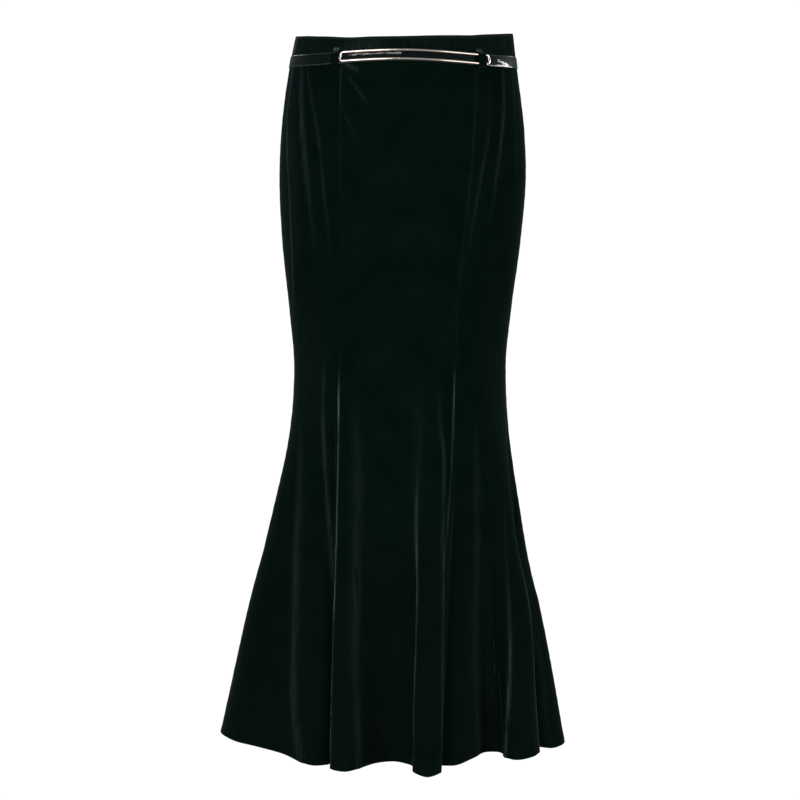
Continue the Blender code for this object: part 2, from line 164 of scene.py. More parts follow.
GORES = (
    Gore("back_side_right", 2.7, (
        FoldLine(0.30, 192.0, 32.0),
        FoldLine(0.55, 158.0, 104.0),
        FoldLine(0.75, 126.0, 112.0),
        FoldLine(0.90, 104.0, 92.0),
    )),
    Gore("back_centre_right", 2.7, (
        FoldLine(0.20, 80.0, 150.0),
        FoldLine(0.38, 54.0, 132.0),
        FoldLine(0.60, 32.0, 98.0),
        FoldLine(0.82, 22.0, 134.0),
    )),
    Gore("back_centre_left", 2.7, (
        FoldLine(0.18, -21.0, 138.0),
        FoldLine(0.40, -34.0, 100.0),
        FoldLine(0.62, -56.0, 122.0),
        FoldLine(0.82, -78.0, 152.0),
    )),
    Gore("back_side_left", 2.7, (
        FoldLine(0.10, -98.0, 98.0),
        FoldLine(0.30, -128.0, 106.0),
        FoldLine(0.50, -168.0, 100.0),
        FoldLine(0.75, -212.0, 78.0),
    )),
    Gore("front_side_left", 1.8, (
        FoldLine(0.12, -209.0, -18.0),
        FoldLine(0.24, -177.0, -47.0),
        FoldLine(0.36, -145.0, -78.0),
        FoldLine(0.46, -122.0, -113.0),
        FoldLine(0.58, -105.0, -131.0),
        FoldLine(0.80, -88.0, -128.0),
        FoldLine(0.92, -79.0, -119.0),
    )),
    Gore("front_centre", 1.8, (
        FoldLine(0.12, -65.0, -158.0),
        FoldLine(0.24, -44.0, -138.0),
        FoldLine(0.37, -28.0, -120.0),
        FoldLine(0.50, -8.0, -113.0),
        FoldLine(0.60, 8.0, -124.0),
        FoldLine(0.67, 17.0, -138.0),
        FoldLine(0.74, 15.0, -158.0),
        FoldLine(0.87, 32.0, -181.0),
    )),
    Gore("front_side_right", 1.8, (
        FoldLine(0.06, 46.0, -133.0),
        FoldLine(0.15, 66.0, -131.0),
        FoldLine(0.26, 88.0, -101.0),
        FoldLine(0.36, 106.0, -71.0),
        FoldLine(0.44, 122.0, -72.0),
        FoldLine(0.50, 125.0, -91.0),
        FoldLine(0.60, 141.0, -107.0),
        FoldLine(0.70, 162.0, -93.0),
        FoldLine(0.78, 171.5, -70.0),
        FoldLine(0.85, 169.5, -46.0),
        FoldLine(0.92, 188.0, -53.0),
    )),
)

# The creases of the worn cloth, each uneven: first those of the front, then similar ones behind.
# A crease's fifth number is painted highlight in the velvet's colour; the bloom ones are mostly that.
CREASES = (
    Crease("left seam edge", 0.9, 1.1, 1.0, 1.0, (
        (-384, 4.991, 0.0), (-402, 4.99, 0.4), (-425, 4.99, 0.85), (-450, 4.99, 0.95), (-474, 4.991, 0.85),
        (-515, 4.993, 0.52), (-558, 4.995, 0.66), (-599, 4.997, 0.72), (-640, 4.996, 0.8),
        (-687, 4.988, 0.98), (-728, 4.985, 0.74), (-765, 4.985, 0.95), (-811, 4.99, 0.8), (-858, 4.994, 0.5),
    )),
    Crease("left seam valley", 4.0, 3.0, -3.0, 0.0, (
        (-370, 4.94, 0.0), (-450, 4.93, 0.6), (-520, 4.93, 1.0), (-580, 4.945, 1.1), (-640, 4.965, 0.7),
        (-700, 4.97, 0.5), (-858, 4.96, 0.0),
    )),
    Crease("left seam fold", 3.4, 2.4, 1.6, 0.16, (
        (-366, 4.805, 0.0), (-420, 4.806, 0.9), (-464, 4.802, 1.0), (-490, 4.815, 0.95), (-517, 4.833, 0.9),
        (-552, 4.852, 0.85), (-581, 4.875, 0.9), (-620, 4.91, 0.7), (-660, 4.94, 0.0),
    )),
    Crease("left centre fold", 6.5, 5.5, 1.2, 0.09, (
        (-410, 5.14, 0.0), (-470, 5.165, 0.6), (-530, 5.185, 0.85), (-590, 5.18, 0.75), (-650, 5.182, 0.9),
        (-700, 5.18, 1.0), (-745, 5.185, 0.75), (-800, 5.198, 1.0), (-858, 5.212, 1.2),
    )),
    Crease("left side fold", 8.0, 7.5, 1.4, 0.12, (
        (-440, 4.44, 0.0), (-500, 4.43, 0.45), (-545, 4.425, 0.7), (-599, 4.412, 1.0), (-646, 4.412, 1.0),
        (-705, 4.418, 1.05), (-760, 4.416, 1.1), (-805, 4.431, 1.2), (-858, 4.478, 1.2),
    )),
    Crease("centre tube left edge", 2.6, 1.9, 1.5, 0.4, (
        (-415, 5.715, 0.0), (-458, 5.695, 0.05), (-500, 5.682, 0.15), (-545, 5.674, 0.5), (-590, 5.682, 1.0),
        (-646, 5.712, 1.15), (-700, 5.72, 0.85), (-764, 5.722, 1.15), (-820, 5.7, 0.9), (-858, 5.65, 0.7),
    )),
    Crease("centre tube left bloom", 6.0, 5.0, 0.4, 0.035, (
        (-405, 5.705, 0.0), (-458, 5.69, 0.8), (-520, 5.68, 1.0), (-590, 5.68, 0.5), (-640, 5.69, 0.0),
    )),
    Crease("centre tube fold", 2.6, 2.2, 1.2, 0.13, (
        (-400, 5.868, 0.0), (-430, 5.872, 0.7), (-458, 5.88, 0.85), (-480, 5.905, 1.0), (-515, 5.92, 1.0),
        (-560, 5.922, 1.0), (-600, 5.93, 0.95), (-650, 5.944, 0.85), (-717, 5.955, 0.7), (-780, 5.975, 0.6),
        (-858, 5.992, 0.55),
    )),
    Crease("right seam edge", 1.2, 1.0, 1.0, 0.5, (
        (-378, 6.0, 0.0), (-403, 5.999, 0.65), (-425, 5.996, 1.1), (-462, 5.993, 0.52), (-511, 5.984, 0.4),
        (-546, 5.973, 0.34), (-593, 5.955, 0.22), (-640, 5.945, 0.0),
    )),
    Crease("right seam lower edge", 1.2, 1.1, 0.5, 0.28, (
        (-560, 5.935, 0.0), (-600, 5.938, 0.8), (-634, 5.942, 1.0), (-675, 5.951, 0.75), (-717, 5.957, 0.85),
        (-758, 5.962, 0.7), (-858, 5.992, 0.5),
    )),
    Crease("right seam valley", 2.5, 2.2, -1.6, 0.0, (
        (-400, 5.975, 0.0), (-440, 5.968, 0.6), (-500, 5.956, 1.0), (-560, 5.95, 0.8), (-600, 5.945, 0.0),
    )),
    Crease("right broad fold", 6.5, 6.5, 1.0, 0.065, (
        (-430, 6.25, 0.0), (-500, 6.253, 0.8), (-593, 6.272, 1.0), (-734, 6.262, 0.8), (-858, 6.298, 0.6),
    )),
    Crease("side tube left edge", 2.2, 2.0, 1.2, 0.34, (
        (-530, 6.628, 0.0), (-580, 6.615, 0.12), (-628, 6.612, 0.21), (-670, 6.61, 0.33), (-711, 6.604, 0.62),
        (-750, 6.585, 0.95), (-793, 6.562, 1.4), (-825, 6.545, 1.35), (-858, 6.525, 1.2),
    )),
    Crease("side tube right edge", 2.2, 2.2, 1.1, 0.47, (
        (-470, 6.9, 0.0), (-540, 6.865, 0.22), (-590, 6.815, 0.45), (-625, 6.79, 0.75), (-660, 6.785, 1.0),
        (-750, 6.783, 1.0), (-858, 6.772, 1.0),
    )),
    Crease("side tube swell", 16.0, 9.0, 5.4, 0.0, (
        (-590, 6.79, 0.0), (-620, 6.785, 0.25), (-645, 6.782, 0.75), (-685, 6.78, 1.25), (-735, 6.78, 1.05),
        (-790, 6.78, 0.4), (-858, 6.78, 0.0),
    )),
    Crease("side tube tuck", 7.0, 5.0, -3.6, 0.0, (
        (-690, 6.47, 0.0), (-770, 6.475, 0.7), (-858, 6.48, 1.0),
    )),
    Crease("side hollow fill", 11.0, 10.0, 6.5, 0.0, (
        (-500, 6.42, 0.0), (-590, 6.43, 0.8), (-660, 6.43, 1.0), (-750, 6.435, 1.0), (-815, 6.44, 0.5),
        (-850, 6.445, 0.0),
    )),
    Crease("side hollow bloom", 12.0, 12.0, 0.6, 0.085, (
        (-560, 6.88, 0.0), (-620, 6.88, 0.7), (-720, 6.88, 1.0), (-858, 6.87, 0.95),
    )),
    Crease("right hollow bloom", 14.0, 14.0, 0.3, 0.022, (
        (-560, 6.4, 0.0), (-640, 6.41, 0.7), (-740, 6.41, 1.0), (-858, 6.42, 1.0),
    )),
    Crease("centre hollow bloom", 16.0, 16.0, 0.3, 0.018, (
        (-660, 5.42, 0.0), (-740, 5.42, 0.7), (-858, 5.43, 1.2),
    )),
    Crease("hip left rim", 2.6, 2.4, 0.6, 0.25, (
        (-22, 4.302, 1.0), (-80, 4.323, 1.0), (-117, 4.368, 0.9), (-184, 4.428, 0.75), (-252, 4.405, 0.85),
        (-350, 4.27, 0.0),
    )),
    Crease("hip left bloom", 14.0, 14.0, 0.3, 0.035, (
        (-20, 4.43, 0.6), (-80, 4.44, 1.0), (-180, 4.47, 1.0), (-290, 4.46, 0.0),
    )),
    Crease("hip left pull", 4.6, 4.0, 0.7, 0.17, (
        (-20, 4.505, 0.7), (-68, 4.565, 0.95), (-111, 4.622, 1.0), (-154, 4.672, 0.7), (-190, 4.7, 0.4),
        (-250, 4.74, 0.0),
    )),
    Crease("hip left inner pull", 2.4, 2.4, 0.6, 0.085, (
        (-22, 4.6, 0.7), (-68, 4.71, 1.0), (-117, 4.806, 1.0), (-178, 4.85, 0.8), (-275, 4.925, 0.0),
    )),
    Crease("left loop pull", 3.6, 4.2, 0.8, 0.24, (
        (-16, 5.03, 0.0), (-22, 5.036, 1.0), (-27, 5.088, 1.0), (-36, 5.15, 0.0),
    )),
    Crease("left loop lower pull", 2.2, 2.4, 0.6, 0.12, (
        (-34, 5.05, 0.0), (-46, 5.098, 1.0), (-60, 5.16, 0.8), (-74, 5.218, 0.0),
    )),
    Crease("left seam pull", 2.6, 2.8, 0.5, 0.05, (
        (-66, 5.0, 0.0), (-78, 5.028, 1.0), (-100, 5.096, 0.8), (-118, 5.152, 0.0),
    )),
    Crease("left knee bloom", 24.0, 26.0, 0.5, 0.030, (
        (-250, 4.52, 0.0), (-330, 4.56, 0.7), (-400, 4.6, 1.0), (-470, 4.56, 0.5), (-540, 4.52, 0.0),
    )),
    Crease("right knee bloom", 26.0, 26.0, 0.5, 0.034, (
        (-290, 6.64, 0.0), (-360, 6.6, 0.7), (-420, 6.58, 1.0), (-500, 6.62, 0.5), (-580, 6.66, 0.0),
    )),
    Crease("left side swell", 30.0, 26.0, 3.0, 0.0, (
        (-590, 4.1, 0.0), (-624, 4.095, 0.12), (-662, 4.09, 1.0), (-700, 4.09, 1.5), (-745, 4.09, 1.4),
        (-795, 4.08, 0.7), (-845, 4.08, 0.0),
    )),
    Crease("right side hollow", 26.0, 26.0, -2.2, 0.0, (
        (-515, 0.0, 0.0), (-560, 0.0, 0.55), (-590, 0.0, 1.0), (-625, 0.0, 1.25), (-645, 0.0, 1.0),
        (-680, 0.0, 0.0),
    )),
    Crease("right side swell", 24.0, 24.0, 1.1, 0.0, (
        (-670, 0.0, 0.0), (-710, 0.0, 0.8), (-760, 0.0, 1.0), (-800, 0.0, 0.6), (-835, 0.0, 0.0),
    )),
    Crease("left seam line", 0.7, 0.9, 0.2, 0.1, (
        (-20, 4.998, 0.9), (-50, 4.998, 1.7), (-80, 4.998, 0.7), (-160, 4.999, 0.4), (-220, 5.0, 0.15),
        (-330, 5.0, 0.0), (-375, 4.994, 0.3), (-400, 4.992, 0.0),
    )),
    Crease("right seam line", 0.9, 0.7, 0.2, 0.12, (
        (-20, 5.999, 0.5), (-120, 5.999, 0.8), (-200, 6.0, 0.6), (-300, 6.0, 0.35), (-370, 6.0, 0.25),
        (-400, 5.999, 0.0),
    )),
    Crease("hip right seam pull", 2.2, 2.2, 0.6, 0.09, (
        (-30, 6.15, 0.0), (-81, 6.172, 0.7), (-142, 6.112, 1.1), (-170, 6.09, 1.0), (-203, 6.072, 0.7),
        (-275, 6.035, 0.0),
    )),
    Crease("hip right pull", 2.4, 2.8, 0.7, 0.17, (
        (-22, 6.395, 0.4), (-81, 6.346, 1.0), (-124, 6.29, 0.85), (-167, 6.256, 0.45), (-225, 6.24, 0.0),
    )),
    Crease("hip right rim", 2.6, 3.0, 0.5, 0.05, (
        (-24, 6.6, 0.5), (-87, 6.555, 1.0), (-150, 6.56, 0.6), (-230, 6.6, 0.0),
    )),
    Crease("back right seam edge", 1.6, 1.2, 1.2, 0.5, (
        (-360, 1.0, 0.0), (-430, 0.998, 0.9), (-500, 0.99, 0.8), (-620, 0.985, 0.5), (-858, 0.99, 0.4),
    )),
    Crease("back right side fold", 6.0, 5.0, 1.3, 0.12, (
        (-430, 0.5, 0.0), (-540, 0.52, 0.9), (-700, 0.545, 0.8), (-858, 0.54, 0.5),
    )),
    Crease("back right flank fold", 5.0, 6.0, 1.0, 0.08, (
        (-480, 0.24, 0.0), (-600, 0.265, 1.0), (-760, 0.285, 0.6), (-858, 0.3, 0.4),
    )),
    Crease("back right centre fold", 3.4, 5.0, 1.3, 0.14, (
        (-410, 1.26, 0.0), (-480, 1.24, 0.8), (-600, 1.215, 1.0), (-858, 1.2, 0.6),
    )),
    Crease("back seam tuck right", 2.6, 1.8, 0.8, 0.12, (
        (-370, 1.905, 0.0), (-440, 1.93, 1.0), (-540, 1.955, 0.6), (-640, 1.97, 0.0),
    )),
    Crease("back centre seam edge", 1.3, 1.8, 1.0, 0.22, (
        (-340, 2.004, 0.0), (-420, 2.004, 0.9), (-520, 2.002, 0.8), (-700, 2.0, 0.6), (-858, 2.0, 0.5),
    )),
    Crease("back left centre fold", 5.0, 3.6, 1.3, 0.13, (
        (-420, 2.74, 0.0), (-510, 2.77, 1.0), (-640, 2.8, 0.8), (-858, 2.82, 0.6),
    )),
    Crease("back left seam edge", 1.3, 1.8, 1.2, 0.42, (
        (-350, 3.0, 0.0), (-415, 3.004, 0.8), (-480, 3.006, 1.0), (-600, 3.01, 0.6), (-858, 3.008, 0.4),
    )),
    Crease("back left shoulder fold", 4.0, 3.4, 1.1, 0.11, (
        (-400, 3.19, 0.0), (-470, 3.2, 0.9), (-560, 3.25, 0.7), (-700, 3.3, 0.0),
    )),
    Crease("back left flank fold", 6.0, 5.6, 1.2, 0.09, (
        (-450, 3.54, 0.0), (-560, 3.53, 0.9), (-700, 3.51, 0.8), (-858, 3.5, 0.5),
    )),
    Crease("seat right pull", 3.0, 3.4, 0.7, 0.11, (
        (-24, 0.56, 0.3), (-80, 0.62, 1.0), (-130, 0.69, 0.7), (-200, 0.78, 0.0),
    )),
    Crease("seat right inner pull", 2.2, 2.6, 0.6, 0.07, (
        (-30, 0.76, 0.4), (-90, 0.84, 0.9), (-150, 0.91, 0.6), (-230, 0.965, 0.0),
    )),
    Crease("seat left pull", 3.4, 3.0, 0.7, 0.12, (
        (-22, 3.48, 0.4), (-75, 3.41, 1.0), (-130, 3.33, 0.8), (-210, 3.24, 0.0),
    )),
    Crease("seat left inner pull", 2.6, 2.2, 0.6, 0.07, (
        (-30, 3.26, 0.3), (-85, 3.18, 0.9), (-160, 3.09, 0.6), (-220, 3.05, 0.0),
    )),
    Crease("seat hollow crease", 5.0, 5.0, -0.8, 0.0, (
        (-210, 1.6, 0.0), (-262, 1.68, 0.8), (-330, 1.76, 0.0),
    )),
    Crease("right side drag", 3.4, 4.2, 0.7, 0.07, (
        (-60, 0.12, 0.0), (-130, 0.16, 0.8), (-220, 0.18, 0.6), (-330, 0.12, 0.0),
    )),
    Crease("left side drag", 3.4, 4.2, 0.7, 0.08, (
        (-50, 3.86, 0.0), (-120, 3.83, 0.8), (-230, 3.8, 0.7), (-340, 3.87, 0.0),
    )),
)


# ---------------------------------------------------------------- finishes


class Nodes:
    """A material's node tree, with short calls that add nodes and join them."""

    def __init__(self, name: str) -> None:
        """Makes the material called name with its Principled shader.

        Args:
            name: The material's name.
        """
        self.material = bpy.data.materials.new(name)
        self.material.use_nodes = True
        self.tree = self.material.node_tree
        self.shader = self.tree.nodes["Principled BSDF"]

    def fill(self, node: bpy.types.Node, inputs: dict[str | int, object]) -> bpy.types.Node:
        """Sets the node's inputs, or joins them where the value is a socket.

        Args:
            node: The node.
            inputs: Values by socket name or number.

        Returns:
            The same node.
        """
        for key, value in inputs.items():
            if isinstance(value, Socket):
                self.tree.links.new(value, node.inputs[key])
            else:
                node.inputs[key].default_value = value
        return node

    def add(self, kind: str, inputs: dict[str | int, object], **settings: object) -> bpy.types.Node:
        """Adds a node of this kind with its settings and inputs.

        Args:
            kind: The node's type.
            inputs: Its inputs, as for fill.
            settings: Its properties.

        Returns:
            The node.
        """
        node = self.tree.nodes.new(kind)
        for key, value in settings.items():
            setattr(node, key, value)
        return self.fill(node, inputs)

    def finished(self, inputs: dict[str, object]) -> Finish:
        """Sets the shader's inputs and hands over the material."""
        self.fill(self.shader, inputs)
        return self.material

    def surface(self) -> Socket:
        """The coordinates that follow the cloth, in metres across and down it."""
        return self.add("ShaderNodeUVMap", {}, uv_map=CLOTH_UV).outputs["UV"]

    def stretched(self, vector: Socket, scale: Triple) -> Socket:
        """The coordinates, scaled on each axis."""
        return self.add("ShaderNodeMapping", {"Vector": vector, "Scale": scale}).outputs["Vector"]

    def noise(self, vector: Socket, scale: float, detail: float) -> Socket:
        """Noise from 0 to 1 with this many features a metre."""
        inputs = {"Vector": vector, "Scale": scale, "Detail": detail}
        return self.add("ShaderNodeTexNoise", inputs).outputs["Fac"]

    def spread(self, value: Socket, span: Pair, onto: Pair) -> Socket:
        """Carries the values between the ends of a span onto those of another, and holds them beyond."""
        keys = ("Value", "From Min", "From Max", "To Min", "To Max")
        return self.add("ShaderNodeMapRange", dict(zip(keys, (value, *span, *onto)))).outputs["Result"]

    def remap(self, value: Socket, onto: Pair = (0.0, 1.0)) -> Socket:
        """Spreads the middle of a noise onto a span."""
        return self.spread(value, NOISE_MIDDLE, onto)

    def weave(self, vector: Socket, scale: float, direction: str) -> Socket:
        """Bands of this scale across the coordinates."""
        inputs = {"Vector": vector, "Scale": scale}
        return self.add("ShaderNodeTexWave", inputs, bands_direction=direction).outputs["Fac"]

    def place(self) -> Socket:
        """The object's own coordinates, in metres."""
        return self.add("ShaderNodeTexCoord", {}).outputs["Object"]

    def attribute(self, name: str) -> Socket:
        """A value that the mesh holds for each point."""
        return self.add("ShaderNodeAttribute", {}, attribute_name=name).outputs["Fac"]

    def times(self, a: Socket, b: Socket) -> Socket:
        """The product of two values."""
        return self.add("ShaderNodeMath", {0: a, 1: b}, operation="MULTIPLY", use_clamp=True).outputs[0]

    def blend(self, factor: Socket, a: Socket | Colour, b: Socket | Colour) -> Socket:
        """The colour that lies factor of the way from a to b."""
        return self.add("ShaderNodeMix", {0: factor, 6: a, 7: b}, data_type="RGBA").outputs[2]

    def bump(self, height: Socket, depth: float, strength: float, under: Socket | None = None) -> Socket:
        """The normal that a relief of this depth in metres gives, laid over the relief under it.

        Args:
            height: The relief, from 0 to 1.
            depth: Its depth in metres.
            strength: How strongly it shows.
            under: The normal of the relief under it.

        Returns:
            The bent normal.
        """
        inputs = {"Height": height, "Distance": depth, "Strength": strength}
        if under is not None:
            inputs["Normal"] = under
        return self.add("ShaderNodeBump", inputs).outputs["Normal"]


@dataclass(frozen=True)
class Velvet:
    """Short cut pile: near black straight on, a real sheen seen aslant, and a painted blue-grey highlight.

    It turns a little warmer, in patches, over a span of heights in metres. A grain is a noise's features per
    metre and its detail, and a relief its depth in metres and its strength.
    """

    name: str = "velvet"
    deep: Colour = (0.0006, 0.0030, 0.0020, 1.0)
    lifted: Colour = (0.0014, 0.0042, 0.0028, 1.0)
    warm: Colour = (0.0018, 0.0037, 0.0023, 1.0)
    warm_heights: Pair = (-0.52, -0.74)
    warm_range: Pair = (0.0, 0.8)
    # Colour of the painted highlight that the mesh's attribute lays on the pile.
    painted_bloom: Colour = (0.045, 0.062, 0.070, 1.0)
    sheen: float = 0.08
    sheen_roughness: float = 0.34
    sheen_tint: Colour = (0.42, 0.60, 0.62, 1.0)
    roughness: float = 0.92
    mottle_grain: Pair = (26.0, 4.0)
    patch_grain: Pair = (15.0, 3.0)
    patch_range: Pair = (0.35, 1.0)
    streak_grain: Pair = (330.0, 4.0)
    streak_stretch: Triple = (1.0, 0.07, 1.0)
    streak_range: Pair = (0.05, 1.55)
    streak_relief: Pair = (0.0002, 0.25)
    pile_grain: Pair = (1500.0, 2.0)
    pile_range: Pair = (0.8, 1.1)
    pile_relief: Pair = (0.0004, 0.35)

    def material(self) -> Finish:
        """Builds the finish: mottled pile, warmer down the flare, streaks, a painted highlight, a fine grain.

        Returns:
            The material.
        """
        nodes = Nodes(self.name)
        cloth = nodes.surface()
        mottle = nodes.remap(nodes.noise(cloth, *self.mottle_grain))
        streak = nodes.noise(nodes.stretched(cloth, self.streak_stretch), *self.streak_grain)
        streak = nodes.remap(streak, self.streak_range)
        pile = nodes.noise(cloth, *self.pile_grain)
        height = nodes.add("ShaderNodeSeparateXYZ", {0: nodes.place()}).outputs["Z"]
        patches = nodes.remap(nodes.noise(cloth, *self.patch_grain), self.patch_range)
        warmth = nodes.times(nodes.spread(height, self.warm_heights, self.warm_range), patches)
        base = nodes.blend(warmth, nodes.blend(mottle, self.deep, self.lifted), self.warm)
        # Painted highlight: the mesh's attribute, broken up by streaks and grain, blends the colour towards
        # the highlight colour.
        painted_sheen_amount = nodes.times(nodes.attribute(PAINTED_SHEEN_ATTRIBUTE), nodes.times(streak, nodes.remap(pile, self.pile_range)))
        return nodes.finished({
            "Base Color": nodes.blend(painted_sheen_amount, base, self.painted_bloom),
            "Roughness": self.roughness,
            "Specular IOR Level": 0.0,
            "Sheen Weight": self.sheen,
            "Sheen Roughness": self.sheen_roughness,
            "Sheen Tint": self.sheen_tint,
            "Normal": nodes.bump(pile, *self.pile_relief, nodes.bump(streak, *self.streak_relief)),
        })


@dataclass(frozen=True)
class VelvetBack:
    """The reverse of the velvet: a flat matt weave."""

    name: str = "velvet_back"
    ground: Colour = (0.0120, 0.0280, 0.0230, 1.0)
    yarn: Colour = (0.0230, 0.0460, 0.0400, 1.0)
    yarns: float = 420.0
    roughness: float = 0.9
    specular: float = 0.05
    relief: Pair = (0.0003, 0.4)

    def material(self) -> Finish:
        """Builds the finish: a plain weave of two crossing waves.

        Returns:
            The material.
        """
        nodes = Nodes(self.name)
        cloth = nodes.surface()
        weave = nodes.times(nodes.weave(cloth, self.yarns, "X"), nodes.weave(cloth, self.yarns, "Y"))
        return nodes.finished({
            "Base Color": nodes.blend(weave, self.ground, self.yarn),
            "Roughness": self.roughness,
            "Specular IOR Level": self.specular,
            "Normal": nodes.bump(weave, *self.relief),
        })


@dataclass(frozen=True)
class Patent:
    """Lacquered leather: a clear coat over near black, a little wavy, with a painted highlight along its
    edges.
    """

    name: str = "patent_leather"
    deep: Colour = (0.0002, 0.0018, 0.0016, 1.0)
    lifted: Colour = (0.0005, 0.0032, 0.0029, 1.0)
    # The edge colour is that of the painted highlight along the strap's edges.
    edge: Colour = (0.0260, 0.0370, 0.0400, 1.0)
    coat: float = 0.5
    coat_roughness: float = 0.025
    roughness_range: Pair = (0.3, 0.4)
    specular: float = 0.02
    cell_grain: Pair = (900.0, 3.0)
    cell_relief: Pair = (0.0001, 0.2)
    ripple_grain: Pair = (260.0, 2.0)
    ripple_stretch: Triple = (0.5, 1.0, 1.0)
    ripple_relief: Pair = (0.0004, 0.12)

    def material(self) -> Finish:
        """Builds the finish: leather cells under a coat that ripples over a few millimetres.

        Returns:
            The material.
        """
        nodes = Nodes(self.name)
        leather = nodes.surface()
        cells = nodes.noise(leather, *self.cell_grain)
        ripple = nodes.noise(nodes.stretched(leather, self.ripple_stretch), *self.ripple_grain)
        face = nodes.blend(nodes.remap(cells), self.deep, self.lifted)
        return nodes.finished({
            # The mesh's attribute lays the painted edge highlight on the colour.
            "Base Color": nodes.blend(nodes.attribute(PAINTED_SHEEN_ATTRIBUTE), face, self.edge),
            "Roughness": nodes.remap(cells, self.roughness_range),
            "Specular IOR Level": self.specular,
            "Coat Weight": self.coat,
            "Coat Roughness": self.coat_roughness,
            "Normal": nodes.bump(cells, *self.cell_relief),
            "Coat Normal": nodes.bump(ripple, *self.ripple_relief),
        })


@dataclass(frozen=True)
class Metal:
    """Polished or lacquered metal with fine rubbing marks."""

    name: str
    bright: Colour
    dull: Colour
    metallic: float
    roughness_range: Pair
    cloud_grain: Pair = (120.0, 3.0)
    mark_grain: Pair = (2600.0, 2.0)
    mark_stretch: Triple = (0.15, 0.15, 1.0)
    mark_relief: Pair = (0.00002, 0.15)

    def material(self) -> Finish:
        """Builds the finish: cloudy tone and roughness, with marks too fine to see singly.

        Returns:
            The material.
        """
        nodes = Nodes(self.name)
        place = nodes.place()
        cloud = nodes.noise(place, *self.cloud_grain)
        marks = nodes.noise(nodes.stretched(place, self.mark_stretch), *self.mark_grain)
        return nodes.finished({
            "Base Color": nodes.blend(nodes.remap(cloud), self.bright, self.dull),
            "Metallic": self.metallic,
            "Roughness": nodes.remap(cloud, self.roughness_range),
            "Normal": nodes.bump(marks, *self.mark_relief),
        })


ROSE_GOLD = Metal("rose_gold", (0.98, 0.77, 0.72, 1.0), (0.91, 0.69, 0.63, 1.0), 1.0, (0.13, 0.18))
LACQUER = Metal("zip_lacquer", (0.010, 0.022, 0.018, 1.0), (0.016, 0.030, 0.026, 1.0), 0.6, (0.25, 0.4))


@dataclass(frozen=True)
class Thread:
    """Twisted sewing thread."""

    name: str = "sewing_thread"
    light: Colour = (0.016, 0.034, 0.030, 1.0)
    dark: Colour = (0.005, 0.013, 0.011, 1.0)
    twists: float = 900.0
    roughness: float = 0.6
    relief: Pair = (0.00005, 0.5)

    def material(self) -> Finish:
        """Builds the finish: a slanted twist along each stitch.

        Returns:
            The material.
        """
        nodes = Nodes(self.name)
        twist = nodes.weave(nodes.place(), self.twists, "DIAGONAL")
        return nodes.finished({
            "Base Color": nodes.blend(twist, self.dark, self.light),
            "Roughness": self.roughness,
            "Normal": nodes.bump(twist, *self.relief),
        })


# ---------------------------------------------------------------- meshes


def hermite(levels: Array, values: Array, at: Array, slopes: Array | None = None) -> Array:
    """Smooth curve through values[level], as cubic pieces whose slopes are those of the neighbours.

    Args:
        levels: Rising positions of the values.
        values: One value, or row of values, for each level.
        at: Where to read the curve, held at its ends beyond them.
        slopes: The slopes at the levels, where they aren't the neighbours'.

    Returns:
        The values at each of at, with the values' own columns last.
    """
    if slopes is None:
        slopes = np.gradient(values, levels, axis=0)
    at = np.clip(at, levels[0], levels[-1])
    index = np.clip(np.searchsorted(levels, at, side="right") - 1, 0, len(levels) - 2)
    shape = (...,) + (None,) * (values.ndim - 1)
    span = (levels[index + 1] - levels[index])[shape]
    t = (at - levels[index])[shape] / span
    low, high = values[index], values[index + 1]
    return (
        (2 * t**3 - 3 * t**2 + 1) * low
        + (t**3 - 2 * t**2 + t) * slopes[index] * span
        + (3 * t**2 - 2 * t**3) * high
        + (t**3 - t**2) * slopes[index + 1] * span
    )


def grid_quads(rows: int, columns: int, first: int = 0, flip: bool = False) -> Array:
    """Quads of a grid of points counted row by row, facing out where rows run down and columns to the right.

    Args:
        rows: Rows of points.
        columns: Columns of points.
        first: Index of the grid's first point.
        flip: Whether the quads face the other way.

    Returns:
        Point indices, four for each quad.
    """
    index = first + np.arange(rows * columns).reshape(rows, columns)
    quads = np.stack([index[:-1, :-1], index[1:, :-1], index[1:, 1:], index[:-1, 1:]], axis=-1).reshape(-1, 4)
    return quads[:, ::-1] if flip else quads


def wall_quads(rows: int, columns: int) -> tuple[Array, Array]:
    """Quads of a wall made of an outer grid and then an inner one, closed along its four edges.

    Args:
        rows: Rows of each grid.
        columns: Columns of each grid.

    Returns:
        The quads, and for each whether it is of the inner grid.
    """
    count = rows * columns
    outer = np.arange(count).reshape(rows, columns)
    edges = []
    for line in (outer[0, ::-1], outer[-1], outer[:, 0], outer[::-1, -1]):
        edges.append(np.stack([line[:-1], line[:-1] + count, line[1:] + count, line[1:]], axis=-1))
    quads = [grid_quads(rows, columns), grid_quads(rows, columns, count, flip=True), *edges]
    inner = np.repeat([False, True, False], [len(quads[0]), len(quads[1]), sum(len(edge) for edge in edges)])
    return np.concatenate(quads), inner


def tube_quads(rings: int, sides: int, closed: bool) -> Array:
    """Quads of a tube of rings counted along it, facing out where its points run right-handed round its way.

    Args:
        rings: Rings of points.
        sides: Points in each ring.
        closed: Whether the last ring joins the first.

    Returns:
        Point indices, four for each quad.
    """
    ring = np.arange(rings if closed else rings - 1)[:, None] * sides
    following = (ring + sides) % (rings * sides)
    side = np.arange(sides)
    beside = (side + 1) % sides
    quads = np.stack([ring + side, ring + beside, following + beside, following + side], axis=-1)
    return quads.reshape(-1, 4)


